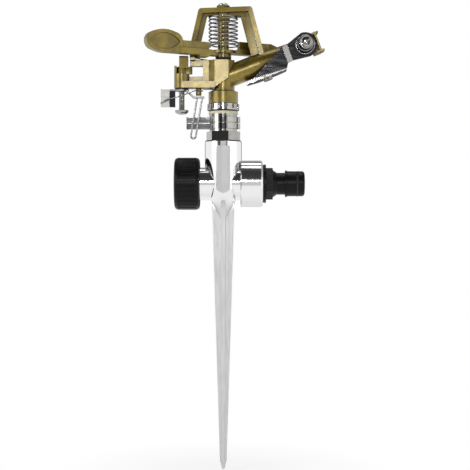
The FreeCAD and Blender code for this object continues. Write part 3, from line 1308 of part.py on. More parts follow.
def make_arm_spring():
    """The arm spring, with a hooked tail at each end."""
    wire = number("Dims.spring_wire / 2")
    radius = number("Dims.spring_diameter / 2") - wire
    points = coil_points(radius, radius, number(SPRING_HEIGHT), number("Dims.spring_coils"),
                         per_turn=14, start_angle=200)
    tail = number("Dims.spring_diameter / 8")
    first, last = points[0], points[-1]
    start_way = Vector(first.x, first.y, 0).normalize()
    end_way = Vector(last.x, last.y, 0).normalize()
    points.insert(0, first + start_way * tail + Vector(first.y, -first.x, 0).normalize() * tail / 2)
    points.append(last + end_way * tail - Vector(last.y, -last.x, 0).normalize() * tail / 2)
    foot = number(f"{HEAD_FOOT} + {HUB_TOP} + Dims.spring_lift") + wire
    return feature_of("arm_spring", wire_solid(points, wire), Placement(Vector(0, 0, foot), Rotation()))


# ---------------------------------------------------------------- jet bracket and breaker screw


def make_jet_bracket():
    """Bent sheet: a shelf under the barrel, a gusset in front of it, a jog forwards and a round ear."""
    body = along_jet("jet_bracket")
    sheet_t = "Dims.sheet_thickness"
    front = "Dims.gusset_front"
    ear_front = "(Dims.gusset_front + Dims.jog_step)"
    shelf = profile(body, "Shelf", [
        ("Dims.shelf_start", f"-{front}"),
        ("Dims.shelf_end", f"-{front}"),
        ("Dims.shelf_end", "Dims.shelf_back - Dims.pad_diameter / 2"),
        ("Dims.shelf_end - Dims.pad_diameter", "Dims.shelf_back"),
        ("Dims.gusset_start", "Dims.shelf_back"),
        ("Dims.shelf_start", "0"),
    ], plane="XY_Plane", ahead=f"-(Dims.shelf_drop + {sheet_t})")
    pad(body, shelf, sheet_t)
    jog_near = "(Dims.jog_end - Dims.jog_step)"
    gusset = profile(body, "Gusset", [
        ("Dims.shelf_start", f"-(Dims.shelf_drop + {sheet_t})"),
        ("Dims.shelf_end", f"-(Dims.shelf_drop + {sheet_t})"),
        (jog_near, "-Dims.gusset_low"),
        (jog_near, "Dims.gusset_high"),
        ("Dims.gusset_start", "-Dims.gusset_low"),
    ], ahead=f"{front} - {sheet_t}")
    pad(body, gusset, sheet_t)
    jog = profile(body, "Jog", [
        (jog_near, f"{sheet_t} - {front}"),
        (f"{jog_near} - {sheet_t}", f"{sheet_t} - {front}"),
        (f"{jog_near} - {sheet_t}", f"-{front}"),
        (jog_near, f"-{front}"),
        ("Dims.jog_end", f"-{ear_front}"),
        (f"Dims.jog_end + {sheet_t}", f"-{ear_front}"),
        (f"Dims.jog_end + {sheet_t}", f"{sheet_t} - {ear_front}"),
    ], plane="XY_Plane", ahead="-Dims.gusset_low")
    pad(body, jog, "Dims.gusset_low + Dims.gusset_high")
    ear = profile(body, "Ear", [
        ("Dims.jog_end", "-Dims.gusset_low"),
        ("Dims.ear_place", "-Dims.ear_radius", "Dims.ear_radius * 1.0001"),
        ("Dims.ear_place", "Dims.ear_radius"),
        ("Dims.jog_end", "Dims.gusset_high"),
    ], ahead=f"{ear_front} - {sheet_t}")
    pad(body, ear, sheet_t)
    collar = new_sketch(body, "EarCollar", "XZ_Plane", ahead=f"{ear_front} - {sheet_t}")
    add_circle(collar, "Dims.ear_place", 0, "Dims.ear_collar_diameter / 2")
    pad(body, collar, "Dims.ear_collar_length", backwards=True)
    hole = new_sketch(body, "EarHole", "XZ_Plane", ahead=ear_front)
    add_circle(hole, "Dims.ear_place", 0, "Dims.breaker_diameter / 2 + Dims.running_clearance")
    pocket(body, hole, f"{sheet_t} + Dims.ear_collar_length")
    rivet = new_sketch(body, "ShelfHole", "XY_Plane", ahead="-Dims.shelf_drop")
    add_circle(rivet, "Dims.rivet_place", 0, "Dims.rivet_diameter / 2")
    pocket(body, rivet, sheet_t)
    return body


def make_rivet():
    body = along_jet("bracket_rivet")
    low = "(Dims.shelf_drop + Dims.sheet_thickness)"
    head = new_sketch(body, "RivetHead", "XY_Plane", ahead=f"-({low} + Dims.rivet_head_height)")
    add_circle(head, "Dims.rivet_place", 0, "Dims.rivet_head_diameter / 2")
    pad(body, head, "Dims.rivet_head_height")
    shank = new_sketch(body, "RivetShank", "XY_Plane", ahead=f"-{low}")
    add_circle(shank, "Dims.rivet_place", 0, "Dims.rivet_diameter / 2")
    pad(body, shank, "Dims.sheet_thickness + Dims.rivet_depth")
    return body


def make_breaker_screw():
    """The screw that breaks up the jet: its tip points into the jet, its head faces forwards."""
    body = along_jet("breaker_screw")
    shank = new_sketch(body, "BreakerShank", "XZ_Plane", ahead="Dims.breaker_tip")
    add_circle(shank, "Dims.ear_place", 0, "Dims.breaker_diameter / 2")
    pad(body, shank, f"{HEAD_REAR} - Dims.breaker_tip")
    head = new_sketch(body, "BreakerHead", "XZ_Plane", ahead=HEAD_REAR)
    add_circle(head, "Dims.ear_place", 0, "Dims.breaker_head_diameter / 2")
    pad(body, head, "Dims.breaker_head_height")
    half = "Dims.breaker_slot / 2"
    reach = "Dims.breaker_head_diameter"
    slot = profile(body, "BreakerSlot", [
        (f"Dims.ear_place - {reach}", f"-{half}"),
        (f"Dims.ear_place + {reach}", f"-{half}"),
        (f"Dims.ear_place + {reach}", half),
        (f"Dims.ear_place - {reach}", half),
    ], ahead=f"{HEAD_REAR} + Dims.breaker_head_height")
    pocket(body, slot, "Dims.breaker_slot")
    return body


def make_breaker_washer():
    body = along_jet("breaker_washer")
    front = f"{HEAD_REAR} - Dims.breaker_washer_thickness"
    sketch = new_sketch(body, "BreakerWasherPlan", "XZ_Plane", ahead=front)
    add_circle(sketch, "Dims.ear_place", 0, "Dims.breaker_washer_diameter / 2")
    add_circle(sketch, "Dims.ear_place", 0, "Dims.breaker_diameter / 2 + Dims.running_clearance")
    pad(body, sketch, "Dims.breaker_washer_thickness")
    return body


def make_breaker_spring():
    """A conical spring, its wide end on the ear."""
    wire = number("Dims.breaker_wire / 2")
    wide = number("Dims.breaker_wide / 2") - wire
    narrow = number("Dims.breaker_washer_diameter / 2") - wire
    height = number("Dims.breaker_gap - Dims.breaker_washer_thickness") - 2 * wire
    points = coil_points(wide, narrow, height, number("Dims.breaker_coils"), per_turn=14)
    angle = number("Dims.jet_angle")
    tilt = Rotation(Vector(0, -1, 0), angle)
    upright = Rotation(Vector(1, 0, 0), 90)
    seat = Vector(number("Dims.ear_place"), -number(EAR_FRONT) - wire, 0)
    base = tilt.multVec(seat) + Vector(0, 0, number(JET_ORIGIN))
    return feature_of("breaker_spring", wire_solid(points, wire), Placement(base, tilt * upright))


# ---------------------------------------------------------------- trip gear


def trip_body(name, lift):
    """A body on the trip axis, at a height over the head's foot."""
    body = new_body(name, f"{HEAD_FOOT} + {lift}")
    body.setExpression("Placement.Base.x", "-Dims.trip_x")
    body.setExpression("Placement.Base.y", "-Dims.trip_y")
    return body


def make_trip_screw():
    """A pan-head screw hanging from the trip dog through boss, spacer and lever."""
    body = trip_body("trip_screw", "0")
    shank = "Dims.trip_screw_diameter / 2"
    head = "Dims.trip_head_diameter / 2"
    low = f"({LEVER_LOW} - Dims.trip_drop)"
    shape = profile(body, "TripScrewHalf", [
        (0, f"{low} - Dims.trip_head_height"),
        (f"{head} / 2", f"{low} - Dims.trip_head_height"),
        (f"{head} * 0.85", f"{low} - Dims.trip_head_height * 0.75"),
        (head, f"{low} - Dims.trip_head_height / 3"),
        (head, low),
        (shank, low),
        (shank, f"{BOSS_TOP} + Dims.dog_cam_height + Dims.dog_height / 3"),
        (0, f"{BOSS_TOP} + Dims.dog_cam_height + Dims.dog_height / 3"),
    ])
    turn(body, shape)
    return body


def make_dog():
    """The trip dog: a cam with one lobe, and a post that the arm strikes."""
    body = trip_body("trip_dog", BOSS_TOP)
    cam = new_sketch(body, "Cam", "XY_Plane")
    add_circle(cam, 0, 0, "Dims.dog_cam_diameter / 2")
    pad(body, cam, "Dims.dog_cam_height")
    half = "Dims.dog_cam_width / 2"
    lobe = profile(body, "Lobe", [
        (0, f"-{half}"),
        (f"Dims.dog_cam_reach - {half}", f"-{half}", f"{half} * 1.0001"),
        (f"Dims.dog_cam_reach - {half}", half),
        (0, half),
    ], plane="XY_Plane")
    pad(body, lobe, "Dims.dog_cam_height")
    post = profile(body, "Post", [
        ("-Dims.dog_left", "-Dims.dog_depth / 1.6"),
        ("Dims.dog_right", "-Dims.dog_depth / 1.6"),
        ("Dims.dog_right", "Dims.dog_depth * 0.375"),
        ("-Dims.dog_left", "Dims.dog_depth * 0.375"),
    ], plane="XY_Plane", ahead="Dims.dog_cam_height - Dims.sheet_thickness")
    pad(body, post, "Dims.dog_height + Dims.sheet_thickness")
    hole = new_sketch(body, "DogHole", "XY_Plane", ahead="0")
    add_circle(hole, 0, 0, "Dims.trip_screw_diameter / 2 + Dims.thread_clearance")
    pocket(body, hole, "Dims.dog_cam_height + Dims.dog_height / 3", backwards=True)
    return body


def make_spacer():
    body = trip_body("trip_spacer", LEVER_TOP)
    sketch = new_sketch(body, "SpacerPlan", "XY_Plane")
    add_circle(sketch, 0, 0, "Dims.spacer_diameter / 2")
    add_circle(sketch, 0, 0, "Dims.trip_screw_diameter / 2 + Dims.thread_clearance")
    pad(body, sketch, "Dims.spacer_thickness")
    return body


def make_lever():
    """The trip lever, bent from sheet: an eye, an arm that dips to the right and a folded tab on the left."""
    body = trip_body("trip_lever", LEVER_LOW)
    sheet_t = "Dims.sheet_thickness"
    eye = new_sketch(body, "Eye", "XY_Plane")
    add_circle(eye, 0, 0, "Dims.lever_eye / 2")
    pad(body, eye, sheet_t)
    arm = profile(body, "LeverArm", [
        (0, 0),
        ("Dims.tab_root", 0),
        ("Dims.lever_bend", "-Dims.lever_drop"),
        ("Dims.lever_reach", "-Dims.lever_drop"),
        ("Dims.lever_reach", f"{sheet_t} - Dims.lever_drop"),
        (f"Dims.lever_bend + {sheet_t} / 2", f"{sheet_t} - Dims.lever_drop"),
        (f"Dims.tab_root + {sheet_t} / 2", sheet_t),
        (0, sheet_t),
    ], ahead="-(Dims.lever_width / 2 - Dims.wire_front + Dims.wire_diameter)")
    pad(body, arm, "Dims.lever_width")
    top = profile(body, "TabRoof", [
        (0, "-Dims.lever_eye / 2"),
        (0, "Dims.lever_eye / 4"),
        ("-Dims.tab_bend", "-Dims.tab_front + Dims.lever_eye / 4"),
        ("-Dims.tab_reach", "-Dims.tab_front + Dims.lever_eye / 4"),
        ("-Dims.tab_reach", "-Dims.tab_front"),
        ("-Dims.tab_bend", "-Dims.tab_front"),
    ], plane="XY_Plane")
    pad(body, top, sheet_t)
    tab = profile(body, "Tab", [
        ("-Dims.tab_root - Dims.trip_screw_diameter / 3", "-Dims.lever_eye / 6"),
        ("-Dims.tab_bend", "-Dims.tab_front"),
        ("-Dims.tab_reach", "-Dims.tab_front"),
        ("-Dims.tab_reach", f"{sheet_t} - Dims.tab_front"),
        (f"-Dims.tab_bend - {sheet_t} / 3", f"{sheet_t} - Dims.tab_front"),
        (f"-Dims.tab_root - Dims.trip_screw_diameter / 3", f"{sheet_t} - Dims.lever_eye / 6"),
    ], plane="XY_Plane", ahead=sheet_t)
    pad(body, tab, "Dims.tab_height", backwards=True)
    hole = new_sketch(body, "EyeHole", "XY_Plane", ahead=sheet_t)
    add_circle(hole, 0, 0, "Dims.trip_screw_diameter / 2 + Dims.thread_clearance")
    pocket(body, hole, sheet_t)
    return body


def make_trip_wire():
    """The U-shaped trip wire, which hangs from the lever's arm and meets the friction collars' ears."""
    body = trip_body("trip_wire", f"{LEVER_LOW} - Dims.lever_drop")
    half = "Dims.wire_spread / 2"
    path = new_sketch(body, "WirePath", "XZ_Plane", ahead="Dims.wire_front")
    lean = "(Dims.wire_place - Dims.wire_lean)"
    corners = [
        (f"Dims.wire_place - {half}", 0),
        (f"{lean} - {half}", "-Dims.wire_length"),
        (f"{lean} + {half}", "-Dims.wire_length"),
        (f"Dims.wire_place + {half}", 0),
    ]
    spots = [Vector(number(across), number(along), 0) for across, along in corners]
    path.addGeometry(Part.LineSegment(spots[0], spots[1]), False)
    path.addGeometry(arc_between(spots[1], spots[2], number(half) * 1.0001), False)
    path.addGeometry(Part.LineSegment(spots[2], spots[3]), False)
    path.addConstraint(Sketcher.Constraint("Coincident", 0, 2, 1, 1))
    path.addConstraint(Sketcher.Constraint("Coincident", 1, 2, 2, 1))
    for edge, end, corner in ((0, 1, 0), (0, 2, 1), (2, 1, 2), (2, 2, 3)):
        bind(path, Sketcher.Constraint("DistanceX", -1, 1, edge, end, spots[corner].x), corners[corner][0])
        bind(path, Sketcher.Constraint("DistanceY", -1, 1, edge, end, spots[corner].y), corners[corner][1])
    bind(path, Sketcher.Constraint("Radius", 1, number(half) * 1.0001), f"{half} * 1.0001")
    section = new_sketch(body, "WireSection", "XY_Plane")
    add_circle(section, f"Dims.wire_place - {half}", "-Dims.wire_front", "Dims.wire_diameter / 2")
    pipe = body.newObject("PartDesign::AdditivePipe", "Wire")
    pipe.Profile = section
    pipe.Spine = (path, ["Edge1", "Edge2", "Edge3"])
    return body


def make_stop_pin():
    body = trip_body("stop_pin", "Dims.boss_foot - Dims.pin_stop_drop")
    sketch = new_sketch(body, "StopPinPlan", "XY_Plane")
    add_circle(sketch, "Dims.pin_stop_x", 0, "Dims.pin_stop_diameter / 2")
    pad(body, sketch, "Dims.pin_stop_drop + Dims.pin_stop_depth")
    return body


def make_trip_spring():
    """The over-centre wire spring, from the stop pin past the screw to the tab."""
    wire = number("Dims.hook_wire / 2")
    pin = number("Dims.pin_stop_x")
    hook = number("(Dims.pin_stop_diameter / 2 + Dims.hook_wire / 2 + Dims.end_clearance) / cos(22.5)")
    run_front = -number("Dims.trip_head_diameter / 2 + Dims.hook_wire")
    low = number(f"{LEVER_LOW} - Dims.boss_foot")
    drop = number("Dims.lever_drop")
    tab = number("Dims.tab_reach")
    tab_front = -number("Dims.tab_front") - wire
    points = [
        Vector(-tab, tab_front, low - drop * 1.8),
        Vector(-number("Dims.tab_bend"), run_front, low - drop * 1.2),
        Vector(0, run_front, low - drop * 0.75),
        Vector(number("Dims.lever_bend"), run_front, low - wire),
    ]
    for turned in (-90, -45, 0, 45):
        angle = math.radians(turned)
        points.append(Vector(pin + hook * math.cos(angle), hook * math.sin(angle), low + wire))
    shape = wire_solid(points, wire)
    base = Vector(-number("Dims.trip_x"), -number("Dims.trip_y"), number(f"{HEAD_FOOT} + Dims.boss_foot"))
    return feature_of("trip_spring", shape, Placement(base, Rotation()))


# ---------------------------------------------------------------- build and write


def make_parts():
    """Every sub-part, in the order in which the real one is put together."""
    sleeve_hole = "(Dims.sleeve_diameter / 2 + Dims.gasket_clearance)"
    sleeve_fit = "(Dims.sleeve_diameter / 2 + Dims.running_clearance)"
    shank_hole = THREAD_R
    foot_outer = "Dims.sleeve_foot_diameter / 2"
    slip_foot = f"({NIPPLE_END} - Dims.slip_washer_thickness)"
    seal_foot = f"({slip_foot} - Dims.seal_washer_thickness)"
    arm_washer_foot = f"({HEAD_FOOT} + Dims.body_height)"
    pin_fit = "(Dims.pin_diameter / 2 + Dims.running_clearance)"
    return [
        make_spike(),
        make_cap(),
        make_cap_gasket(),
        make_connector(),
        make_inlet_gasket(),
        make_o_ring(),
        ring("riser_gasket", "Dims.riser_gasket_diameter / 2", shank_hole, "Dims.riser_height",
             "Dims.riser_gasket_thickness"),
        make_nipple(),
        make_sleeve(),
        ring("seal_washer", foot_outer, sleeve_fit, seal_foot, "Dims.seal_washer_thickness"),
        ring("slip_washer", foot_outer, sleeve_fit, slip_foot, "Dims.slip_washer_thickness"),
        make_bearing_spring(),
        ring("thrust_washer", "Dims.thrust_diameter / 2", sleeve_hole, NIPPLE_TOP, "Dims.thrust_thickness"),
        ring("top_washer", "Dims.top_washer_diameter / 2", sleeve_fit, THRUST_TOP, "Dims.top_washer_thickness"),
        make_nut(),
        make_collar("friction_collar_lower", LOWER_COLLAR),
        make_collar("friction_collar_upper", UPPER_COLLAR),
        make_casting(),
        make_nozzle(),
        make_jet_bracket(),
        make_rivet(),
        make_breaker_screw(),
        make_breaker_washer(),
        make_breaker_spring(),
        ring("arm_washer", "Dims.arm_washer_diameter / 2", pin_fit, arm_washer_foot,
             "Dims.arm_washer_thickness"),
        make_hammer(),
        make_pin(),
        make_arm_spring(),
        make_trip_screw(),
        make_dog(),
        make_spacer(),
        make_lever(),
        make_trip_wire(),
        make_stop_pin(),
        make_trip_spring(),
    ]


parts = make_parts()
doc.recompute()
for item in doc.Objects:
    if "Invalid" in item.State or "Error" in item.State:
        raise RuntimeError(f"{item.Name} failed: {item.State}")
for part in parts:
    if part.Shape.isNull() or not part.Shape.isValid():
        raise RuntimeError(f"{part.Label} has no valid shape")
os.makedirs("parts", exist_ok=True)
for part in parts:
    part.Shape.exportStep(f"parts/{part.Label}.step")
    print(f"{part.Label}: {len(part.Shape.Solids)} solid, {part.Shape.Volume:.0f} mm3")
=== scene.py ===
"""Impact sprinkler on a ground spike: finishes, springs, screws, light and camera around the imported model."""
import json
import math

import bpy
from mathutils import Matrix, Vector


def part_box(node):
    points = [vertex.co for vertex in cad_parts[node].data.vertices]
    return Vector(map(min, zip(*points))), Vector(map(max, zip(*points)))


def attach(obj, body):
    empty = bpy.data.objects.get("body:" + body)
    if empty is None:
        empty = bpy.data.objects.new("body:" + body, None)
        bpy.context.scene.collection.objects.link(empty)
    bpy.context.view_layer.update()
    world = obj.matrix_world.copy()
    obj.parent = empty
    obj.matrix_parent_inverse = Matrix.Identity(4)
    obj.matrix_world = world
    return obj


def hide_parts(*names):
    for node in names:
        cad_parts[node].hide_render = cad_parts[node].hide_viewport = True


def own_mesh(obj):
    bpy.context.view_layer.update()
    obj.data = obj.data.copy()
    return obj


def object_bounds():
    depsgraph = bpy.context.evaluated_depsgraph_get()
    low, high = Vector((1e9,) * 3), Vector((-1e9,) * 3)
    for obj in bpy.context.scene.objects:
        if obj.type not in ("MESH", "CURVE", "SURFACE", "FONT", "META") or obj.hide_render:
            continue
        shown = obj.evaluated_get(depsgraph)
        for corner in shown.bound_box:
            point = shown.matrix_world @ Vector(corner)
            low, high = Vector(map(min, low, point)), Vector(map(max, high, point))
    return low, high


bl_info = {
    "name": "Impact sprinkler looks",
    "version": (1, 0, 0),
    "blender": (4, 5, 0),
    "location": "View3D > Sidebar > Sprinkler",
    "description": "Finishes, springs, screws and stage for an impact sprinkler on a ground spike",
    "category": "Object",
}

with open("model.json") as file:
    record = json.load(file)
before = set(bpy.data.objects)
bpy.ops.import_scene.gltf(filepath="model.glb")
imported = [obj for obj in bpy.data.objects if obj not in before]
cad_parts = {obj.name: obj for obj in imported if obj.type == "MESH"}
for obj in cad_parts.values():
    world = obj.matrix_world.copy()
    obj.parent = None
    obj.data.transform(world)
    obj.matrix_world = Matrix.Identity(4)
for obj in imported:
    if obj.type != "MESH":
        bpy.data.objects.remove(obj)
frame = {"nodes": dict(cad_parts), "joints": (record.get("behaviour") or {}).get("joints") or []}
cad_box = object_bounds()
joints = {joint["name"]: joint for joint in frame["joints"]}

MM = 0.001
# Faces that meet at a smaller angle than this read as one curved surface.
SMOOTH_ANGLE = math.radians(38)
# A colour Mix node's two colour inputs and its colour output, which share their names with other sockets.
MIX_A, MIX_B, MIX_RESULT = 6, 7, 2
# The top line of the jet bracket's lip: its height at X = 0, and its rise for each metre to the right.
# Below this line the jet bracket gets no painted dark reflection, so its lip shows bright.
LIP_HEIGHT = 71.7 * MM
LIP_SLOPE = 0.33
# The enamel thickens again over this stretch of X, which crosses the yoke's right leg.
COAT_RETURN = (14 * MM, 21 * MM)
# Share of a cone's narrowing that each closed turn at its low end takes up.
END_TURN_SHARE = 0.04


# ---------------------------------------------------------------- helpers


def linear(code):
    """An sRGB hex colour as linear red, green, blue and alpha."""
    parts = [int(code[i:i + 2], 16) / 255 for i in (1, 3, 5)]
    return (*(p / 12.92 if p <= 0.04045 else ((p + 0.055) / 1.055) ** 2.4 for p in parts), 1.0)


def add_node(tree, kind, inputs=None, stops=(), **settings):
    """Add a shader node with its settings. An input is a number, a colour, or a node or socket to link.
    Stops are a ramp's (place, colour) pairs."""
    node = tree.nodes.new("ShaderNode" + kind)
    for key, value in settings.items():
        setattr(node, key, value)
    for key, value in (inputs or {}).items():
        if isinstance(value, bpy.types.Node):
            value = next(socket for socket in value.outputs if socket.enabled)
        if isinstance(value, bpy.types.NodeSocket):
            tree.links.new(value, node.inputs[key])
        else:
            node.inputs[key].default_value = value
    if stops:
        marks = node.color_ramp.elements
        marks[0].position, marks[0].color = stops[0]
        marks[-1].position, marks[-1].color = stops[-1]
        for place, shade in stops[1:-1]:
            marks.new(place).color = shade
    return node


def new_material(name, **settings):
    """A node material whose Principled shader has the given plain values, spaces written as underscores."""
    material = bpy.data.materials.new(name)
    material.use_nodes = True
    tree = material.node_tree
    tree.nodes.clear()
    surface = add_node(tree, "BsdfPrincipled", {key.replace("_", " "): value for key, value in settings.items()})
    add_node(tree, "OutputMaterial", {"Surface": surface})
    return material, tree, surface


def grit(tree, size, detail=3.0, stretch=(1, 1, 1)):
    """Cloudy marks about size metres across, stretched along the axes of the part."""
    place = add_node(tree, "TexCoord").outputs["Object"]
    scaled = add_node(tree, "Mapping", {"Vector": place, "Scale": tuple(1 / (size * s) for s in stretch)})
    return add_node(tree, "TexNoise", {"Vector": scaled, "Scale": 1.0, "Detail": detail, "Roughness": 0.55})


def relief(tree, surface, height, depth, soft_edge):
    """Bump of a real depth in metres, over edges that read as rounded by soft_edge metres."""
    edge = add_node(tree, "Bevel", {"Radius": soft_edge}, samples=6)
    bump = add_node(tree, "Bump", {"Height": height, "Distance": depth, "Strength": 1.0, "Normal": edge})
    tree.links.new(bump.outputs[0], surface.inputs["Normal"])


def grey(light):
    """A plain grey of the given light."""
    return light, light, light, 1.0


def shaded(colour, share):
    """A colour with its light scaled, its alpha kept."""
    return (*(min(1.0, part * share) for part in colour[:3]), 1.0)


def finish_nodes(material, *names):
    """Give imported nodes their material."""
    for name in names:
        node = frame["nodes"][name]
        node.data.materials.clear()
        node.data.materials.append(material)


def new_piece(name, surface, material, body, slot, *nodes):
    """An object from (points, faces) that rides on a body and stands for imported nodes."""
    mesh = bpy.data.meshes.new(name)
    mesh.from_pydata([tuple(point) for point in surface[0]], [], surface[1])
    mesh.validate()
    mesh.shade_smooth()
    mesh.set_sharp_from_angle(angle=SMOOTH_ANGLE)
    mesh.materials.append(material)
    piece = bpy.data.objects.new(name, mesh)
    bpy.context.scene.collection.objects.link(piece)
    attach(piece, body)
    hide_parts(*nodes)
    return piece


def together(*surfaces):
    """Several (points, faces) as one."""
    points, faces = [], []
    for more_points, more_faces in surfaces:
        start = len(points)
        points += more_points
        faces += [tuple(start + i for i in face) for face in more_faces]
    return points, faces


def placed(surface, matrix):
    """(points, faces) moved by a matrix."""
    return [matrix @ point for point in surface[0]], surface[1]


def skinned(points, sides):
    """(points, faces) from rings of points that follow each other, the first and last ring closed by a disc."""
    faces = []
    for low in range(0, len(points) - sides, sides):
        for step in range(sides):
            after = (step + 1) % sides
            faces.append((low + step, low + after, low + sides + after, low + sides + step))
    faces.append(tuple(reversed(range(sides))))
    faces.append(tuple(range(len(points) - sides, len(points))))
    return points, faces


def tube(path, radius, sides=12):
    """A round wire along a path. Each end reaches a little beyond the path and is drawn in to a smaller disc."""
    path = [Vector(point) for point in path]
    ways = [(path[min(i + 1, len(path) - 1)] - path[max(i - 1, 0)]).normalized() for i in range(len(path))]
    side = ways[0].orthogonal().normalized()
    points = []

    def add_ring(centre, way, across, size):
        up = way.cross(across).normalized()
        for step in range(sides):
            turn = 2 * math.pi * step / sides
            points.append(centre + (across * math.cos(turn) + up * math.sin(turn)) * size)

    end_reach, end_radius = radius * 0.5, radius * 0.6
    add_ring(path[0] - ways[0] * end_reach, ways[0], side, end_radius)
    for centre, way in zip(path, ways):
        side = (side - way * side.dot(way)).normalized()
        add_ring(centre, way, side, radius)
    add_ring(path[-1] + ways[-1] * end_reach, ways[-1], side, end_radius)
    return skinned(points, sides)


def lathe(outline, segments=56):
    """A turned shape about +Z from (radius, height) points."""
    points = []
    for radius, height in outline:
        for step in range(segments):
            turn = 2 * math.pi * step / segments
            points.append(Vector((radius * math.cos(turn), radius * math.sin(turn), height)))
    return skinned(points, segments)


def thread(radius, depth, pitch, length, around=24, per_pitch=6):
    """A right-hand screw thread about +Z from height 0, with a rounded crest and root and tapered ends."""
    rows = max(2, round(length / pitch * per_pitch)) + 1
    points = []
    for row in range(rows):
        height = length * row / (rows - 1)
        run_out = min(1.0, height / pitch, (length - height) / pitch)
        for step in range(around):
            phase = height / pitch - step / around
            crest = 0.5 + 0.5 * math.cos(2 * math.pi * phase)
            size = radius - depth * (1 - crest) - depth * (1 - run_out) * crest
            turn = 2 * math.pi * step / around
            points.append(Vector((size * math.cos(turn), size * math.sin(turn), height)))
    return skinned(points, around)


def coil(low_radius, high_radius, height, turns, closed, start_turn=0.0, per_turn=36):
    """The centre line of a wound spring about +Z. At each end it lies level for the closed number of turns."""
    points = []
    for step in range(round(turns * per_turn) + 1):
        done = step / per_turn
        rise = min(1.0, max(0.0, (done - closed) / (turns - 2 * closed)))
        narrowing = min(1.0, rise + END_TURN_SHARE * min(done, closed))
        radius = low_radius + (high_radius - low_radius) * narrowing
        turn = 2 * math.pi * done + start_turn
        points.append(Vector((radius * math.cos(turn), radius * math.sin(turn), height * rise)))
    return points


def eased(corners, per_span=10):
    """A smooth line through every corner."""
    line = []
    last = len(corners) - 1
    for i in range(last):
        before, start, end, after = (Vector(corners[max(0, min(last, i + k))]) for k in (-1, 0, 1, 2))
        for step in range(per_span):
            t = step / per_span
            line.append(0.5 * ((2 * start) + (end - before) * t + (2 * before - 5 * start + 4 * end - after) * t ** 2
                               + (3 * start - before - 3 * end + after) * t ** 3))
    line.append(Vector(corners[-1]))
    return line


# ---------------------------------------------------------------- what a user may change


class SprinklerColours(bpy.types.PropertyGroup):
    """Colours of the sprinkler's finishes."""
    gold: bpy.props.FloatVectorProperty(
        name="Gold enamel", description="Metallic enamel of the castings", subtype="COLOR", size=4,
        min=0, max=1, default=linear("#8E7A1E"))
    # A darker tone of the enamel in random clouds; at 0.3 of its light it is also the painted shade in creases.
    gold_deep: bpy.props.FloatVectorProperty(
        name="Gold enamel, thick", description="The same enamel where it lies thick", subtype="COLOR", size=4,
        min=0, max=1, default=linear("#6E5D12"))
    zinc: bpy.props.FloatVectorProperty(
        name="Zinc", description="Buffed die-cast zinc of the riser and the tube", subtype="COLOR", size=4,
        min=0, max=1, default=linear("#ECECEC"))
    zinc_satin: bpy.props.FloatVectorProperty(
        name="Zinc, satin", description="Die-cast zinc of the spike and the lug, as cast", subtype="COLOR",
        size=4, min=0, max=1, default=linear("#DEDEDE"))
    # The pressed plates show this colour where no painted reflection is laid on them.
    chrome: bpy.props.FloatVectorProperty(
        name="Chrome plate", description="Bright plate, also where a film is rubbed off", subtype="COLOR", size=4,
        min=0, max=1, default=linear("#ACAAA6"))
    # Painted reflection: dark, laid on the jet bracket's faces that look along Y and the trip lever's along X.
    painted_dark_reflection: bpy.props.FloatVectorProperty(
        name="Black plate", description="Film on the jet bracket and trip lever", subtype="COLOR", size=4,
        min=0, max=1, default=linear("#323234"))
    # Painted reflection: grey, laid on the friction collars' faces that look along Y.
    painted_grey_reflection: bpy.props.FloatVectorProperty(
        name="Grey plate", description="Passivated film on the friction collars", subtype="COLOR", size=4,
        min=0, max=1, default=linear("#6C6C6C"))
    steel: bpy.props.FloatVectorProperty(
        name="Spring steel", description="Drawn wire of the springs and the trip wire", subtype="COLOR", size=4,
        min=0, max=1, default=linear("#9A9A9C"))
    black: bpy.props.FloatVectorProperty(
        name="Black plastic", description="Moulded cap and hose connector", subtype="COLOR", size=4,
        min=0, max=1, default=linear("#101011"))
    rubber: bpy.props.FloatVectorProperty(
        name="Rubber", description="Gaskets, rubber washers and the trip spacer", subtype="COLOR", size=4,
        min=0, max=1, default=linear("#161514"))
    cream: bpy.props.FloatVectorProperty(
        name="Cream nylon", description="Thrust and slip washers", subtype="COLOR", size=4,
        min=0, max=1, default=linear("#E4DCC0"))


class SprinklerSizes(bpy.types.PropertyGroup):
    """Sizes of the pieces made here."""
    arm_spring_wire: bpy.props.FloatProperty(
        name="Arm spring wire", description="Wire diameter of the arm spring", default=1.0 * MM, unit="LENGTH")
    arm_spring_diameter: bpy.props.FloatProperty(
        name="Arm spring diameter", description="Outside of the arm spring", default=19.4 * MM, unit="LENGTH")
    arm_spring_turns: bpy.props.FloatProperty(
        name="Arm spring turns", description="Turns of the arm spring", default=8.5)
    breaker_spring_wire: bpy.props.FloatProperty(
        name="Breaker spring wire", description="Wire diameter of the conical spring", default=0.9 * MM,
        unit="LENGTH")
    breaker_spring_turns: bpy.props.FloatProperty(
        name="Breaker spring turns", description="Turns of the conical spring", default=3.5)
    trip_screw_pitch: bpy.props.FloatProperty(
        name="Trip screw pitch", description="Thread pitch of the trip screw", default=0.8 * MM, unit="LENGTH")
    breaker_screw_pitch: bpy.props.FloatProperty(
        name="Breaker screw pitch", description="Thread pitch of the breaker screw", default=0.7 * MM,
        unit="LENGTH")
    trip_spring_wire: bpy.props.FloatProperty(
        name="Trip spring wire", description="Wire diameter of the over-centre spring", default=0.8 * MM,
        unit="LENGTH")
    floor_reach: bpy.props.FloatProperty(
        name="Floor reach", description="Radius of the floor under the spike", default=0.9, unit="LENGTH")


# ---------------------------------------------------------------- materials


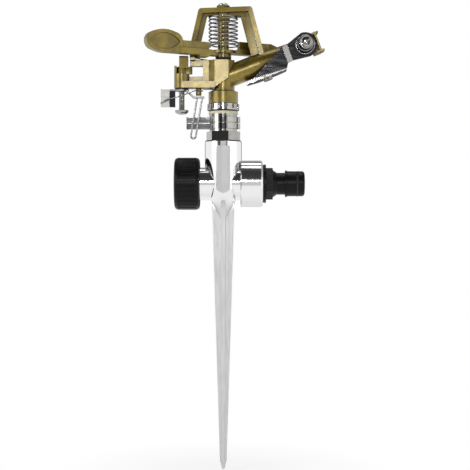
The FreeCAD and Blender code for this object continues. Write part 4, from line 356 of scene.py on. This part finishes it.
def gold_enamel(name, colours, thin_above):
    """Metallic gold enamel, sprayed on shot-blasted zinc: a satin sheen over the casting's fine skin. Above the
    given height the coat is thin and the sheen duller, but it thickens again across the yoke's right leg."""
    material, tree, surface = new_material(name, Metallic=0.8, Coat_Roughness=0.28)
    place = add_node(tree, "SeparateXYZ", {0: add_node(tree, "TexCoord").outputs["Object"]}).outputs
    high = add_node(tree, "MapRange", {"Value": place["Z"], "From Min": thin_above, "From Max": thin_above + 2 * MM})
    left = add_node(tree, "MapRange", {"Value": place["X"], "From Min": COAT_RETURN[0], "From Max": COAT_RETURN[1],
                                       "To Min": 1.0, "To Max": 0.1})
    thin = add_node(tree, "Math", {0: high, 1: left}, operation="MULTIPLY")
    coat = add_node(tree, "MapRange", {"Value": thin, "To Min": 1.0, "To Max": 0.15})
    tree.links.new(coat.outputs[0], surface.inputs["Coat Weight"])
    cloud = add_node(tree, "MapRange", {"Value": grit(tree, 9 * MM), "From Min": 0.35, "From Max": 0.65})
    shade = add_node(tree, "Mix", {0: cloud, MIX_A: tuple(colours.gold), MIX_B: tuple(colours.gold_deep)},
                     data_type="RGBA")
    # Painted shade: the colour darkens in the creases and hollows that the ambient occlusion finds, which
    # reads as dark outlines around every boss and rib.
    open_air = add_node(tree, "AmbientOcclusion", {"Distance": 4 * MM}, samples=8).outputs["AO"]
    painted_crease_shade = add_node(tree, "MapRange", {"Value": open_air, "From Min": 0.35, "From Max": 0.95})
    shade = add_node(tree, "Mix", {0: painted_crease_shade, MIX_A: shaded(colours.gold_deep, 0.3), MIX_B: shade}, data_type="RGBA")
    tree.links.new(shade.outputs[MIX_RESULT], surface.inputs["Base Color"])
    sheen = add_node(tree, "MapRange", {"Value": grit(tree, 1.6 * MM), "From Min": 0.3, "From Max": 0.7,
                                        "To Min": 0.34, "To Max": 0.44})
    dull = add_node(tree, "Math", {0: thin, 1: 0.2, 2: sheen}, operation="MULTIPLY_ADD")
    tree.links.new(dull.outputs[0], surface.inputs["Roughness"])
    # Shot-blast grain is about 0.3 mm across, drawn at 0.7 mm so that it shows.
    relief(tree, surface, grit(tree, 0.7 * MM, 2.0), 0.012 * MM, 0.35 * MM)
    return material


def die_cast_zinc(colours):
    """Die-cast zinc: the riser and tube are buffed to a mirror, the spike and the lug stay satin and a little
    cloudy. The lug's flat faces are painted darker than the spike, as painted shade."""
    material, tree, surface = new_material("ZincDieCastBuffed", Metallic=1.0)
    place = add_node(tree, "SeparateXYZ", {0: add_node(tree, "TexCoord").outputs["Object"]})
    facing = add_node(tree, "SeparateXYZ", {0: add_node(tree, "NewGeometry").outputs["Normal"]})
    # The buffing fades out where the spike begins.
    cast = add_node(tree, "MapRange", {"Value": place.outputs["Z"], "From Min": -6 * MM, "From Max": 0.5 * MM,
                                       "To Min": 1.0, "To Max": 0.0})
    # The lug's flat faces look along Y and are 9 mm wide.
    front = add_node(tree, "Math", {0: facing.outputs["Y"]}, operation="ABSOLUTE")
    flat = add_node(tree, "MapRange", {"Value": front, "From Min": 0.985, "From Max": 0.995})
    sideways = add_node(tree, "Math", {0: place.outputs["X"]}, operation="ABSOLUTE")
    lug = add_node(tree, "MapRange", {"Value": sideways, "From Min": 4.2 * MM, "From Max": 4.9 * MM,
                                      "To Min": 1.0, "To Max": 0.0})
    lug_face = add_node(tree, "Math", {0: flat, 1: lug}, operation="MULTIPLY")
    satin = add_node(tree, "Math", {0: cast, 1: lug_face}, operation="MAXIMUM")
    # The mould's flow marks run down the spike, a few millimetres wide and much longer than that.
    flow = add_node(tree, "MapRange", {"Value": grit(tree, 1.5 * MM, 4.0, (1, 1, 9)), "From Min": 0.3,
                                       "From Max": 0.7})
    satin_skin_and_lug_shade = add_node(tree, "Mix", {0: flow, MIX_A: tuple(colours.zinc_satin),
                                       MIX_B: shaded(colours.zinc_satin, 0.85)}, data_type="RGBA")
    # Painted shade: on the lug's faces above the spike, the satin colour is taken at 0.7 of its light.
    satin_skin_and_lug_shade = add_node(tree, "Mix", {0: cast, MIX_A: shaded(colours.zinc_satin, 0.7), MIX_B: satin_skin_and_lug_shade},
                         data_type="RGBA")
    shade = add_node(tree, "Mix", {0: satin, MIX_A: tuple(colours.zinc), MIX_B: satin_skin_and_lug_shade}, data_type="RGBA")
    tree.links.new(shade.outputs[MIX_RESULT], surface.inputs["Base Color"])
    dull = add_node(tree, "Math", {0: satin, 1: 0.42, 2: 0.05}, operation="MULTIPLY_ADD")
    rough = add_node(tree, "Math", {0: flow, 1: 0.06, 2: dull}, operation="MULTIPLY_ADD")
    tree.links.new(rough.outputs[0], surface.inputs["Roughness"])
    skin = add_node(tree, "Math", {0: grit(tree, 1.2 * MM, 3.0, (1, 1, 3)), 1: satin}, operation="MULTIPLY")
    relief(tree, surface, skin, 0.06 * MM, 0.4 * MM)
    return material


def chrome_plate(colours):
    """Bright plate on turned parts: mirror-like, with faint handling marks."""
    material, tree, surface = new_material("ChromePlateBright", Metallic=1.0)
    marks = add_node(tree, "MapRange", {"Value": grit(tree, 2.2 * MM, 5.0), "From Min": 0.45, "From Max": 0.75})
    shade = add_node(tree, "Mix", {0: marks, MIX_A: tuple(colours.chrome), MIX_B: shaded(colours.chrome, 0.8)},
                     data_type="RGBA")
    tree.links.new(shade.outputs[MIX_RESULT], surface.inputs["Base Color"])
    rough = add_node(tree, "MapRange", {"Value": marks, "To Min": 0.06, "To Max": 0.16})
    tree.links.new(rough.outputs[0], surface.inputs["Roughness"])
    # Slow waves left by turning and polishing bend the reflections into upright streaks.
    relief(tree, surface, grit(tree, 2.4 * MM, 1.5, (1, 1, 3)), 0.08 * MM, 0.25 * MM)
    return material


def pressed_plate(name, bright, painted_reflection, axis, start, rough, lip=0.0):
    """Zinc plate on pressed sheet steel, with a painted reflection. Faces that look along the axis, from the
    start share up, are coloured with the painted dark reflection; everywhere else the plate shows its bright
    colour. The painted reflection also stops below a sloping line, which crosses X = 0 at the lip height."""
    material, tree, surface = new_material(name, Metallic=1.0)
    facing = add_node(tree, "SeparateXYZ", {0: add_node(tree, "NewGeometry").outputs["Normal"]})
    along = add_node(tree, "Math", {0: facing.outputs[axis]}, operation="ABSOLUTE")
    # Painted reflection: faces that look along the axis are coloured as if they mirrored something dark.
    dark_reflection_mask = add_node(tree, "MapRange", {"Value": along, "From Min": start, "From Max": start + 0.06})
    place = add_node(tree, "SeparateXYZ", {0: add_node(tree, "TexCoord").outputs["Object"]}).outputs
    rise = add_node(tree, "Math", {0: place["X"], 1: -LIP_SLOPE, 2: place["Z"]}, operation="MULTIPLY_ADD")
    over_lip = add_node(tree, "MapRange", {"Value": rise, "From Min": lip, "From Max": lip + 0.5 * MM})
    dark_reflection_mask = add_node(tree, "Math", {0: dark_reflection_mask, 1: over_lip}, operation="MULTIPLY")
    streaks = add_node(tree, "MapRange", {"Value": grit(tree, 2.5 * MM, 4.0, (5, 1, 0.6)), "From Min": 0.35,
                                          "From Max": 0.7})
    # Random streaks run through the painted dark reflection.
    dark = add_node(tree, "Mix", {0: streaks, MIX_A: tuple(painted_reflection), MIX_B: shaded(painted_reflection, 1.4)}, data_type="RGBA")
    shade = add_node(tree, "Mix", {0: dark_reflection_mask, MIX_A: tuple(bright), MIX_B: dark}, data_type="RGBA")
    tree.links.new(shade.outputs[MIX_RESULT], surface.inputs["Base Color"])
    gloss = add_node(tree, "MapRange", {"Value": streaks, "To Min": rough, "To Max": rough + 0.06})
    tree.links.new(gloss.outputs[0], surface.inputs["Roughness"])
    # Slow waves left by the press tool bend the reflections a little.
    relief(tree, surface, grit(tree, 3 * MM, 1.5), 0.012 * MM, 0.25 * MM)
    return material


def spring_wire(colours):
    """Drawn spring wire: bright, with fine lengthwise drawing marks."""
    material, tree, surface = new_material("SpringWireDrawn", Metallic=1.0)
    marks = grit(tree, 0.6 * MM)
    drawn = add_node(tree, "MapRange", {"Value": marks, "From Min": 0.4, "From Max": 0.7})
    shade = add_node(tree, "Mix", {0: drawn, MIX_A: tuple(colours.steel), MIX_B: shaded(colours.steel, 0.7)},
                     data_type="RGBA")
    tree.links.new(shade.outputs[MIX_RESULT], surface.inputs["Base Color"])
    rough = add_node(tree, "MapRange", {"Value": marks, "From Min": 0.3, "From Max": 0.7, "To Min": 0.12,
                                        "To Max": 0.26})
    tree.links.new(rough.outputs[0], surface.inputs["Roughness"])
    return material


def black_polypropylene(colours):
    """Injection-moulded polypropylene: near black, with a soft shine and a fine spark-eroded grain."""
    material, tree, surface = new_material("PolypropyleneMoulded", IOR=1.49, Specular_IOR_Level=0.15)
    cloud = add_node(tree, "MapRange", {"Value": grit(tree, 5 * MM), "From Min": 0.3, "From Max": 0.7})
    shade = add_node(tree, "Mix", {0: cloud, MIX_A: tuple(colours.black), MIX_B: shaded(colours.black, 1.6)},
                     data_type="RGBA")
    tree.links.new(shade.outputs[MIX_RESULT], surface.inputs["Base Color"])
    rough = add_node(tree, "MapRange", {"Value": grit(tree, 1.4 * MM), "From Min": 0.3, "From Max": 0.7,
                                        "To Min": 0.26, "To Max": 0.40})
    tree.links.new(rough.outputs[0], surface.inputs["Roughness"])
    # The mould's grain is about 0.1 mm, drawn at 0.5 mm so that it shows.
    relief(tree, surface, grit(tree, 0.5 * MM, 2.0), 0.012 * MM, 0.3 * MM)
    return material


def nitrile_rubber(colours):
    """Moulded nitrile rubber: matt and slightly dusty."""
    material, tree, surface = new_material("NitrileRubber")
    dust = add_node(tree, "MapRange", {"Value": grit(tree, 2 * MM), "From Min": 0.4, "From Max": 0.8})
    shade = add_node(tree, "Mix", {0: dust, MIX_A: tuple(colours.rubber), MIX_B: shaded(colours.rubber, 2.6)},
                     data_type="RGBA")
    tree.links.new(shade.outputs[MIX_RESULT], surface.inputs["Base Color"])
    rough = add_node(tree, "MapRange", {"Value": dust, "To Min": 0.55, "To Max": 0.8})
    tree.links.new(rough.outputs[0], surface.inputs["Roughness"])
    return material


def cream_nylon(colours):
    """Turned nylon: ivory, semi-matt, with turning marks."""
    material, tree, surface = new_material("NylonTurned", Subsurface_Weight=0.1,
                                           Subsurface_Radius=(1.0 * MM, 0.8 * MM, 0.5 * MM))
    rings = grit(tree, 0.8 * MM, 2.0, (4, 4, 1))
    worn = add_node(tree, "MapRange", {"Value": rings, "From Min": 0.35, "From Max": 0.65})
    shade = add_node(tree, "Mix", {0: worn, MIX_A: tuple(colours.cream), MIX_B: shaded(colours.cream, 0.8)},
                     data_type="RGBA")
    tree.links.new(shade.outputs[MIX_RESULT], surface.inputs["Base Color"])
    rough = add_node(tree, "MapRange", {"Value": rings, "From Min": 0.3, "From Max": 0.7, "To Min": 0.35,
                                        "To Max": 0.5})
    tree.links.new(rough.outputs[0], surface.inputs["Roughness"])
    return material


def floor_white():
    """Seamless white paper: shows the shadow near the spike and runs out to plain white."""
    material = bpy.data.materials.new("PaperSweepWhite")
    material.use_nodes = True
    tree = material.node_tree
    tree.nodes.clear()
    place = add_node(tree, "TexCoord").outputs["Object"]
    away = add_node(tree, "VectorMath", {0: place}, operation="LENGTH").outputs["Value"]
    # Within 3 cm of the tip the plain white has a share of 0.72, from 11 cm outwards it is all there is.
    fade = add_node(tree, "MapRange", {"Value": away, "From Min": 0.03, "From Max": 0.11, "To Min": 0.72})
    rays = add_node(tree, "LightPath").outputs
    mirrored = add_node(tree, "Math", {0: rays["Is Glossy Ray"], 1: rays["Is Transmission Ray"]},
                        operation="MAXIMUM")
    seen = add_node(tree, "Math", {0: rays["Is Camera Ray"], 1: mirrored}, operation="MAXIMUM")
    share = add_node(tree, "Math", {0: seen, 1: fade}, operation="MULTIPLY")
    paper = add_node(tree, "BsdfDiffuse", {"Color": linear("#F4F4F4")})
    plain = add_node(tree, "Emission", {"Color": (1, 1, 1, 1), "Strength": 1.0})
    add_node(tree, "OutputMaterial", {"Surface": add_node(tree, "MixShader", {0: share, 1: paper, 2: plain})})
    return material


# ---------------------------------------------------------------- one operator for each piece or group


class StageOperator(bpy.types.Operator):
    """White floor and backdrop, soft boxes, and the camera"""
    bl_idname = "sprinkler.stage"
    bl_label = "Stage"

    def execute(self, context):
        scene = context.scene
        scene.view_settings.view_transform = "Standard"
        self.add_floor(context)
        self.add_world(scene)
        # Name, place, size and strength of each soft box. All of them look at the riser.
        riser = Vector((0, 0, 0.03))
        for name, place, size, power in (
            ("KeyBox", (-0.03, -1.10, 0.238), 0.08, 2.1),
            ("SideBox", (-0.9, -0.55, 0.35), 0.5, 2.5),
            ("TopBox", (0.1, 0.15, 1.1), 0.6, 3.0),
        ):
            lamp = bpy.data.lights.new(name, "AREA")
            lamp.energy = power
            lamp.size = size
            box = bpy.data.objects.new(name, lamp)
            scene.collection.objects.link(box)
            box.location = place
            box.rotation_euler = (riser - Vector(place)).to_track_quat("-Z", "Y").to_euler()
        # The camera stands 0.8 m in front, almost level with the middle of the part, which just fills its view.
        lens = bpy.data.cameras.new("Camera")
        lens.sensor_width = 36.0
        lens.lens = 94.27
        lens.clip_start = 0.01
        camera = bpy.data.objects.new("Camera", lens)
        scene.collection.objects.link(camera)
        camera.location = (0.0076, -0.8, -0.0218)
        camera.rotation_euler = (math.radians(90), 0, 0)
        scene.camera = camera
        return {"FINISHED"}

    def add_floor(self, context):
        """A round floor, half a millimetre under the tip of the spike."""
        reach = context.scene.sprinkler_sizes.floor_reach
        count = 96
        points = [(0, 0, 0)]
        points += [(reach * math.cos(2 * math.pi * i / count), reach * math.sin(2 * math.pi * i / count), 0)
                   for i in range(count)]
        faces = [(0, i + 1, (i + 1) % count + 1) for i in range(count)]
        mesh = bpy.data.meshes.new("Floor")
        mesh.from_pydata(points, [], faces)
        mesh.materials.append(floor_white())
        floor = bpy.data.objects.new("Floor", mesh)
        context.scene.collection.objects.link(floor)
        floor.location = (0, 0, cad_box[0][2] - 0.5 * MM)

    def add_world(self, scene):
        """White to look at, even light all round, and for polished metal a room: bright up to eye level, dark
        above it in front, grey above it behind, with two dark uprights in front and a low dark wall behind."""
        world = bpy.data.worlds.new("Studio")
        scene.world = world
        world.use_nodes = True
        tree = world.node_tree
        tree.nodes.clear()
        way = add_node(tree, "SeparateXYZ", {0: add_node(tree, "TexCoord").outputs["Generated"]}).outputs
        level = add_node(tree, "MapRange", {"Value": way["Z"], "From Min": -1.0, "From Max": 1.0})
        front = add_node(tree, "ValToRGB", {"Fac": level}, stops=[
            (0.0, grey(0.35)), (0.25, grey(0.9)), (0.45, grey(1.0)), (0.64, grey(0.9)), (0.68, grey(0.08)),
            (0.93, grey(0.06)), (1.0, grey(0.14))])
        back = add_node(tree, "ValToRGB", {"Fac": level}, stops=[
            (0.0, grey(0.25)), (0.25, grey(0.65)), (0.45, grey(0.72)), (0.58, grey(0.72)), (0.66, grey(0.4)),
            (0.85, grey(0.2)), (1.0, grey(0.12))])
        flat = add_node(tree, "VectorMath", {0: add_node(tree, "CombineXYZ", {0: way["X"], 1: way["Y"]})},
                        operation="NORMALIZE")
        across = add_node(tree, "SeparateXYZ", {0: flat}).outputs
        sideways = add_node(tree, "Math", {0: across["X"]}, operation="ABSOLUTE")
        edge = add_node(tree, "ValToRGB", {"Fac": sideways}, stops=[
            (0.0, grey(0.12)), (0.46, grey(0.12)), (0.54, grey(1.0)), (1.0, grey(1.0))])
        across_room = add_node(tree, "MapRange", {"Value": across["X"], "From Min": -1.0, "From Max": 1.0})
        ahead = add_node(tree, "ValToRGB", {"Fac": across_room}, stops=[
            (0.0, grey(0.78)), (0.17, grey(0.78)), (0.24, grey(0.05)), (0.38, grey(0.05)), (0.43, grey(0.42)),
            (0.56, grey(0.5)), (0.62, grey(0.11)), (0.70, grey(0.11)), (0.76, grey(1.0)), (1.0, grey(1.0))])
        below = add_node(tree, "MapRange", {"Value": way["Z"], "From Min": -0.6, "From Max": -0.1})
        ahead = add_node(tree, "Mix", {0: below, MIX_A: grey(0.68), MIX_B: ahead}, data_type="RGBA")
        front = add_node(tree, "Mix", {0: 1.0, MIX_A: front, MIX_B: ahead}, data_type="RGBA",
                         blend_type="MULTIPLY")
        low_wall = add_node(tree, "MapRange", {"Value": way["Z"], "From Min": 0.12, "From Max": 0.3,
                                               "To Min": 1.0, "To Max": 0.0})
        flagged = add_node(tree, "Mix", {0: low_wall, MIX_A: back, MIX_B: edge}, data_type="RGBA",
                           blend_type="MULTIPLY")
        behind = add_node(tree, "MapRange", {"Value": across["Y"], "From Min": -0.15, "From Max": 0.15})
        room = add_node(tree, "Mix", {0: behind, MIX_A: front, MIX_B: flagged}, data_type="RGBA")
        rays = add_node(tree, "LightPath").outputs
        direct = add_node(tree, "Math", {0: rays["Is Camera Ray"], 1: rays["Is Transmission Ray"]},
                          operation="MAXIMUM")
        mirrored = add_node(tree, "Background", {"Color": room, "Strength": 1.4})
        ambient = add_node(tree, "Background", {"Color": (1, 1, 1, 1), "Strength": 0.55})
        plain = add_node(tree, "Background", {"Color": (1, 1, 1, 1), "Strength": 1.0})
        lit = add_node(tree, "MixShader", {0: rays["Is Glossy Ray"], 1: ambient, 2: mirrored})
        add_node(tree, "OutputWorld", {"Surface": add_node(tree, "MixShader", {0: direct, 1: lit, 2: plain})})


class CastingsOperator(bpy.types.Operator):
    """Gold enamel on the head, the arm, the trip dog and the stop pin"""
    bl_idname = "sprinkler.castings"
    bl_label = "Head and arm castings"

    def execute(self, context):
        colours = context.scene.sprinkler_colours
        arm_foot, arm_top = (corner.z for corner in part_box("hammer_arm"))
        dog_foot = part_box("trip_dog")[0].z
        # The arm and the pin have the full coat. On the head it is thin from the arm's underside up, which is the
        # yoke, and on the dog it is thin all over.
        finish_nodes(gold_enamel("GoldEnamelSprayed", colours, arm_top), "hammer_arm", "stop_pin")
        finish_nodes(gold_enamel("GoldEnamelThinAbove", colours, arm_foot), "head_casting")
        finish_nodes(gold_enamel("GoldEnamelDusted", colours, dog_foot), "trip_dog")
        return {"FINISHED"}


class StandOperator(bpy.types.Operator):
    """Zinc spike, tube and riser"""
    bl_idname = "sprinkler.stand"
    bl_label = "Spike and riser"

    def execute(self, context):
        finish_nodes(die_cast_zinc(context.scene.sprinkler_colours), "spike_base")
        return {"FINISHED"}


class PlatedOperator(bpy.types.Operator):
    """Bright plate on turned parts, plate with painted dark reflections on bracket, collars and trip lever, and
    drawn wire
    """
    bl_idname = "sprinkler.plated"
    bl_label = "Plated parts"

    def execute(self, context):
        colours = context.scene.sprinkler_colours
        finish_nodes(chrome_plate(colours), "bearing_nipple", "packing_nut", "nozzle", "bracket_rivet",
                     "breaker_washer", "fulcrum_pin", "bearing_sleeve")
        # Faces that look along Y on the bracket and the collars carry the painted reflection.
        finish_nodes(pressed_plate("ZincPlatePaintedDarkReflection", colours.chrome, colours.painted_dark_reflection, axis="Y",
                                   start=0.9, rough=0.06, lip=LIP_HEIGHT), "jet_bracket")
        finish_nodes(pressed_plate("ZincPlatePaintedGreyReflection", colours.chrome, colours.painted_grey_reflection, axis="Y",
                                   start=0.93, rough=0.04), "friction_collar_lower", "friction_collar_upper")
        # On the trip lever the faces that look along X carry the painted dark reflection.
        finish_nodes(pressed_plate("ZincPlateSatin", colours.chrome, colours.painted_dark_reflection, axis="X",
                                   start=0.3, rough=0.42), "trip_lever")
        finish_nodes(spring_wire(colours), "trip_wire", "bearing_spring")
        return {"FINISHED"}


class PlasticsOperator(bpy.types.Operator):
    """Black cap and hose connector, rubber gaskets and washers, and cream washers"""
    bl_idname = "sprinkler.plastics"
    bl_label = "Plastics and seals"

    def execute(self, context):
        colours = context.scene.sprinkler_colours
        finish_nodes(black_polypropylene(colours), "end_cap", "inlet_connector")
        finish_nodes(nitrile_rubber(colours), "cap_gasket", "inlet_gasket", "connector_o_ring", "riser_gasket",
                     "seal_washer", "top_washer", "arm_washer", "trip_spacer")
        finish_nodes(cream_nylon(colours), "thrust_washer", "slip_washer")
        return {"FINISHED"}


class ArmSpringOperator(bpy.types.Operator):
    """The arm spring, wound with closed ends, a hook at the low end and a straight tail at the high end"""
    bl_idname = "sprinkler.arm_spring"
    bl_label = "Arm spring"

    def execute(self, context):
        sizes = context.scene.sprinkler_sizes
        low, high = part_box("arm_spring")
        wire = sizes.arm_spring_wire / 2
        radius = sizes.arm_spring_diameter / 2 - wire
        rise = high.z - low.z - 2 * wire
        line = coil(radius, radius, rise, sizes.arm_spring_turns, closed=0.6, start_turn=math.radians(160))
        # The low end bends over into a short hook, the high end runs out straight to the yoke's leg. The hook's
        # points lie so many millimetres outwards and back along the wire, the tail's so many from the last point.
        tip = line[0]
        out = Vector((tip.x, tip.y, 0)).normalized()
        back = Vector((tip.y, -tip.x, 0)).normalized()
        hook = [tip + out * away * MM + back * behind * MM
                for away, behind in ((1.9, 1.0), (1.3, 1.4), (0.5, 1.0))]
        tail = [line[-1] + Vector(step) * MM for step in ((1.2, 0.6, -0.1), (5.6, 0.9, -0.4))]
        line = [point + Vector((0, 0, low.z + wire)) for point in (*hook, *line, *tail)]
        new_piece("ArmSpring", tube(line, wire), spring_wire(context.scene.sprinkler_colours), "head",
                  "spring_steel", "arm_spring")
        return {"FINISHED"}


class BreakerOperator(bpy.types.Operator):
    """The breaker screw with its thread and slotted head, and the conical spring behind it"""
    bl_idname = "sprinkler.breaker"
    bl_label = "Breaker screw and spring"

    def execute(self, context):
        sizes = context.scene.sprinkler_sizes
        colours = context.scene.sprinkler_colours
        low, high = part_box("breaker_spring")
        axis = Vector(joints["breaker_turn"]["pos_m"])
        wire = sizes.breaker_spring_wire / 2
        wide = (high.z - low.z) / 2 - wire
        narrow = 3.3 * MM
        forwards = Matrix.Translation((axis.x, high.y - wire, axis.z)) @ Matrix.Rotation(math.radians(90), 4, "X")
        line = coil(wide, narrow, high.y - low.y - 2 * wire, sizes.breaker_spring_turns, closed=0.7)
        spring = new_piece("BreakerSpring", tube([forwards @ point for point in line], wire),
                           spring_wire(colours), "breaker_seat", "spring_steel", "breaker_spring")
        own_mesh(spring)
        low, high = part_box("breaker_screw")
        radius = 2.0 * MM
        thread_depth = 0.3 * MM
        head_radius = (high.z - low.z) / 2
        head_height = 2.8 * MM
        length = high.y - low.y - head_height
        inwards = Matrix.Translation((axis.x, low.y, axis.z)) @ Matrix.Rotation(math.radians(-90), 4, "X")
        head = lathe([(head_radius * 0.72, 0), (head_radius * 0.93, 0.25 * MM), (head_radius, 0.7 * MM),
                      (head_radius, head_height), (radius * 0.8, head_height)])
        shank = placed(thread(radius, thread_depth, sizes.breaker_screw_pitch, length),
                       Matrix.Translation((0, 0, head_height)))
        screw = new_piece("BreakerScrew", placed(together(head, shank), inwards),
                          chrome_plate(colours), "breaker", "bright_chrome", "breaker_screw")
        self.cut_slot(screw, axis, low.y, head_radius)
        return {"FINISHED"}

    def cut_slot(self, screw, axis, face, head_radius):
        """A screwdriver slot, cut with a box and applied to the mesh."""
        depth, width, lean = 1.1 * MM, 1.0 * MM, math.radians(-35)
        half = Vector((head_radius * 1.1, depth, width / 2))
        centre = Vector((axis.x, face, axis.z))
        tilt = Matrix.Rotation(lean, 4, "Y")
        points = [centre + tilt @ Vector((x * half.x, y * half.y, z * half.z))
                  for x in (-1, 1) for y in (-1, 1) for z in (-1, 1)]
        faces = [(0, 1, 3, 2), (4, 6, 7, 5), (0, 4, 5, 1), (2, 3, 7, 6), (0, 2, 6, 4), (1, 5, 7, 3)]
        mesh = bpy.data.meshes.new("SlotCutter")
        mesh.from_pydata(points, [], faces)
        cutter = bpy.data.objects.new("SlotCutter", mesh)
        bpy.context.scene.collection.objects.link(cutter)
        cut = screw.modifiers.new("Slot", "BOOLEAN")
        cut.operation = "DIFFERENCE"
        cut.object = cutter
        cut.solver = "EXACT"
        shape = bpy.data.meshes.new_from_object(screw.evaluated_get(bpy.context.evaluated_depsgraph_get()))
        screw.modifiers.clear()
        screw.data = shape
        bpy.data.objects.remove(cutter)


class TripGearOperator(bpy.types.Operator):
    """The threaded trip screw with its pan head, and the over-centre spring"""
    bl_idname = "sprinkler.trip_gear"
    bl_label = "Trip gear"

    def execute(self, context):
        sizes = context.scene.sprinkler_sizes
        colours = context.scene.sprinkler_colours
        low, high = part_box("trip_screw")
        axis = Vector(joints["trip_swing"]["pos_m"])
        head_radius = (high.x - low.x) / 2
        head_height = 2.7 * MM
        radius = 2.0 * MM
        thread_depth = 0.38 * MM
        # The pan head's outline, as shares of its radius and of its height.
        pan = ((0.62, 0.15), (0.84, 0.33), (0.97, 0.6), (1.0, 1.0))
        head = lathe([(head_radius * 0.3, 0), *((head_radius * out, head_height * up) for out, up in pan),
                      (radius * 0.9, head_height)])
        shank = placed(thread(radius, thread_depth, sizes.trip_screw_pitch, high.z - low.z - head_height),
                       Matrix.Translation((0, 0, head_height)))
        seat = Matrix.Translation((axis.x, axis.y, low.z))
        new_piece("TripScrew", placed(together(head, shank), seat), chrome_plate(colours), "trip",
                  "bright_chrome", "trip_screw")
        wire = sizes.trip_spring_wire / 2
        # The wire in millimetres from a point on the screw's axis: it starts at the lever's tab on the left,
        # climbs past the front of the screw, and ends in an open hook round the stop pin.
        corners = [(-13.4, -3.6, -9.92), (-7.8, -5.2, -7.28), (0, -5.2, -5.3), (7.6, -5.2, -2.4)]
        hook_centre, hook_radius, hook_level = 10.9, 2.49, -1.6
        corners += [(hook_centre + hook_radius * math.cos(turn), hook_radius * math.sin(turn), hook_level)
                    for turn in map(math.radians, (-90, -45, 0, 45))]
        hub = Vector((axis.x, axis.y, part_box("trip_spring")[1].z + 1.2 * MM))
        corners = [hub + Vector(corner) * MM for corner in corners]
        new_piece("TripSpring", tube(eased(corners), wire, sides=10), spring_wire(colours), "trip",
                  "spring_steel", "trip_spring")
        return {"FINISHED"}


class SprinklerPanel(bpy.types.Panel):
    """The sprinkler's operators, in the order in which they run."""
    bl_idname = "VIEW3D_PT_sprinkler"
    bl_label = "Sprinkler"
    bl_space_type = "VIEW_3D"
    bl_region_type = "UI"
    bl_category = "Sprinkler"

    def draw(self, context):
        for operator in OPERATORS:
            self.layout.operator(operator.bl_idname)
        for group in (context.scene.sprinkler_sizes, context.scene.sprinkler_colours):
            for key in group.bl_rna.properties.keys():
                if key not in ("rna_type", "name"):
                    self.layout.prop(group, key)


OPERATORS = (StageOperator, CastingsOperator, StandOperator, PlatedOperator, PlasticsOperator, ArmSpringOperator,
             BreakerOperator, TripGearOperator)
CLASSES = (SprinklerColours, SprinklerSizes, *OPERATORS, SprinklerPanel)


def register():
    for cls in CLASSES:
        bpy.utils.register_class(cls)
    bpy.types.Scene.sprinkler_colours = bpy.props.PointerProperty(type=SprinklerColours)
    bpy.types.Scene.sprinkler_sizes = bpy.props.PointerProperty(type=SprinklerSizes)


def unregister():
    del bpy.types.Scene.sprinkler_sizes
    del bpy.types.Scene.sprinkler_colours
    for cls in reversed(CLASSES):
        bpy.utils.unregister_class(cls)


def main():
    """Register the classes and make every piece in order."""
    register()
    bpy.ops.sprinkler.stage()
    bpy.ops.sprinkler.castings()
    bpy.ops.sprinkler.stand()
    bpy.ops.sprinkler.plated()
    bpy.ops.sprinkler.plastics()
    bpy.ops.sprinkler.arm_spring()
    bpy.ops.sprinkler.breaker()
    bpy.ops.sprinkler.trip_gear()


if __name__ == "__main__":
    main()
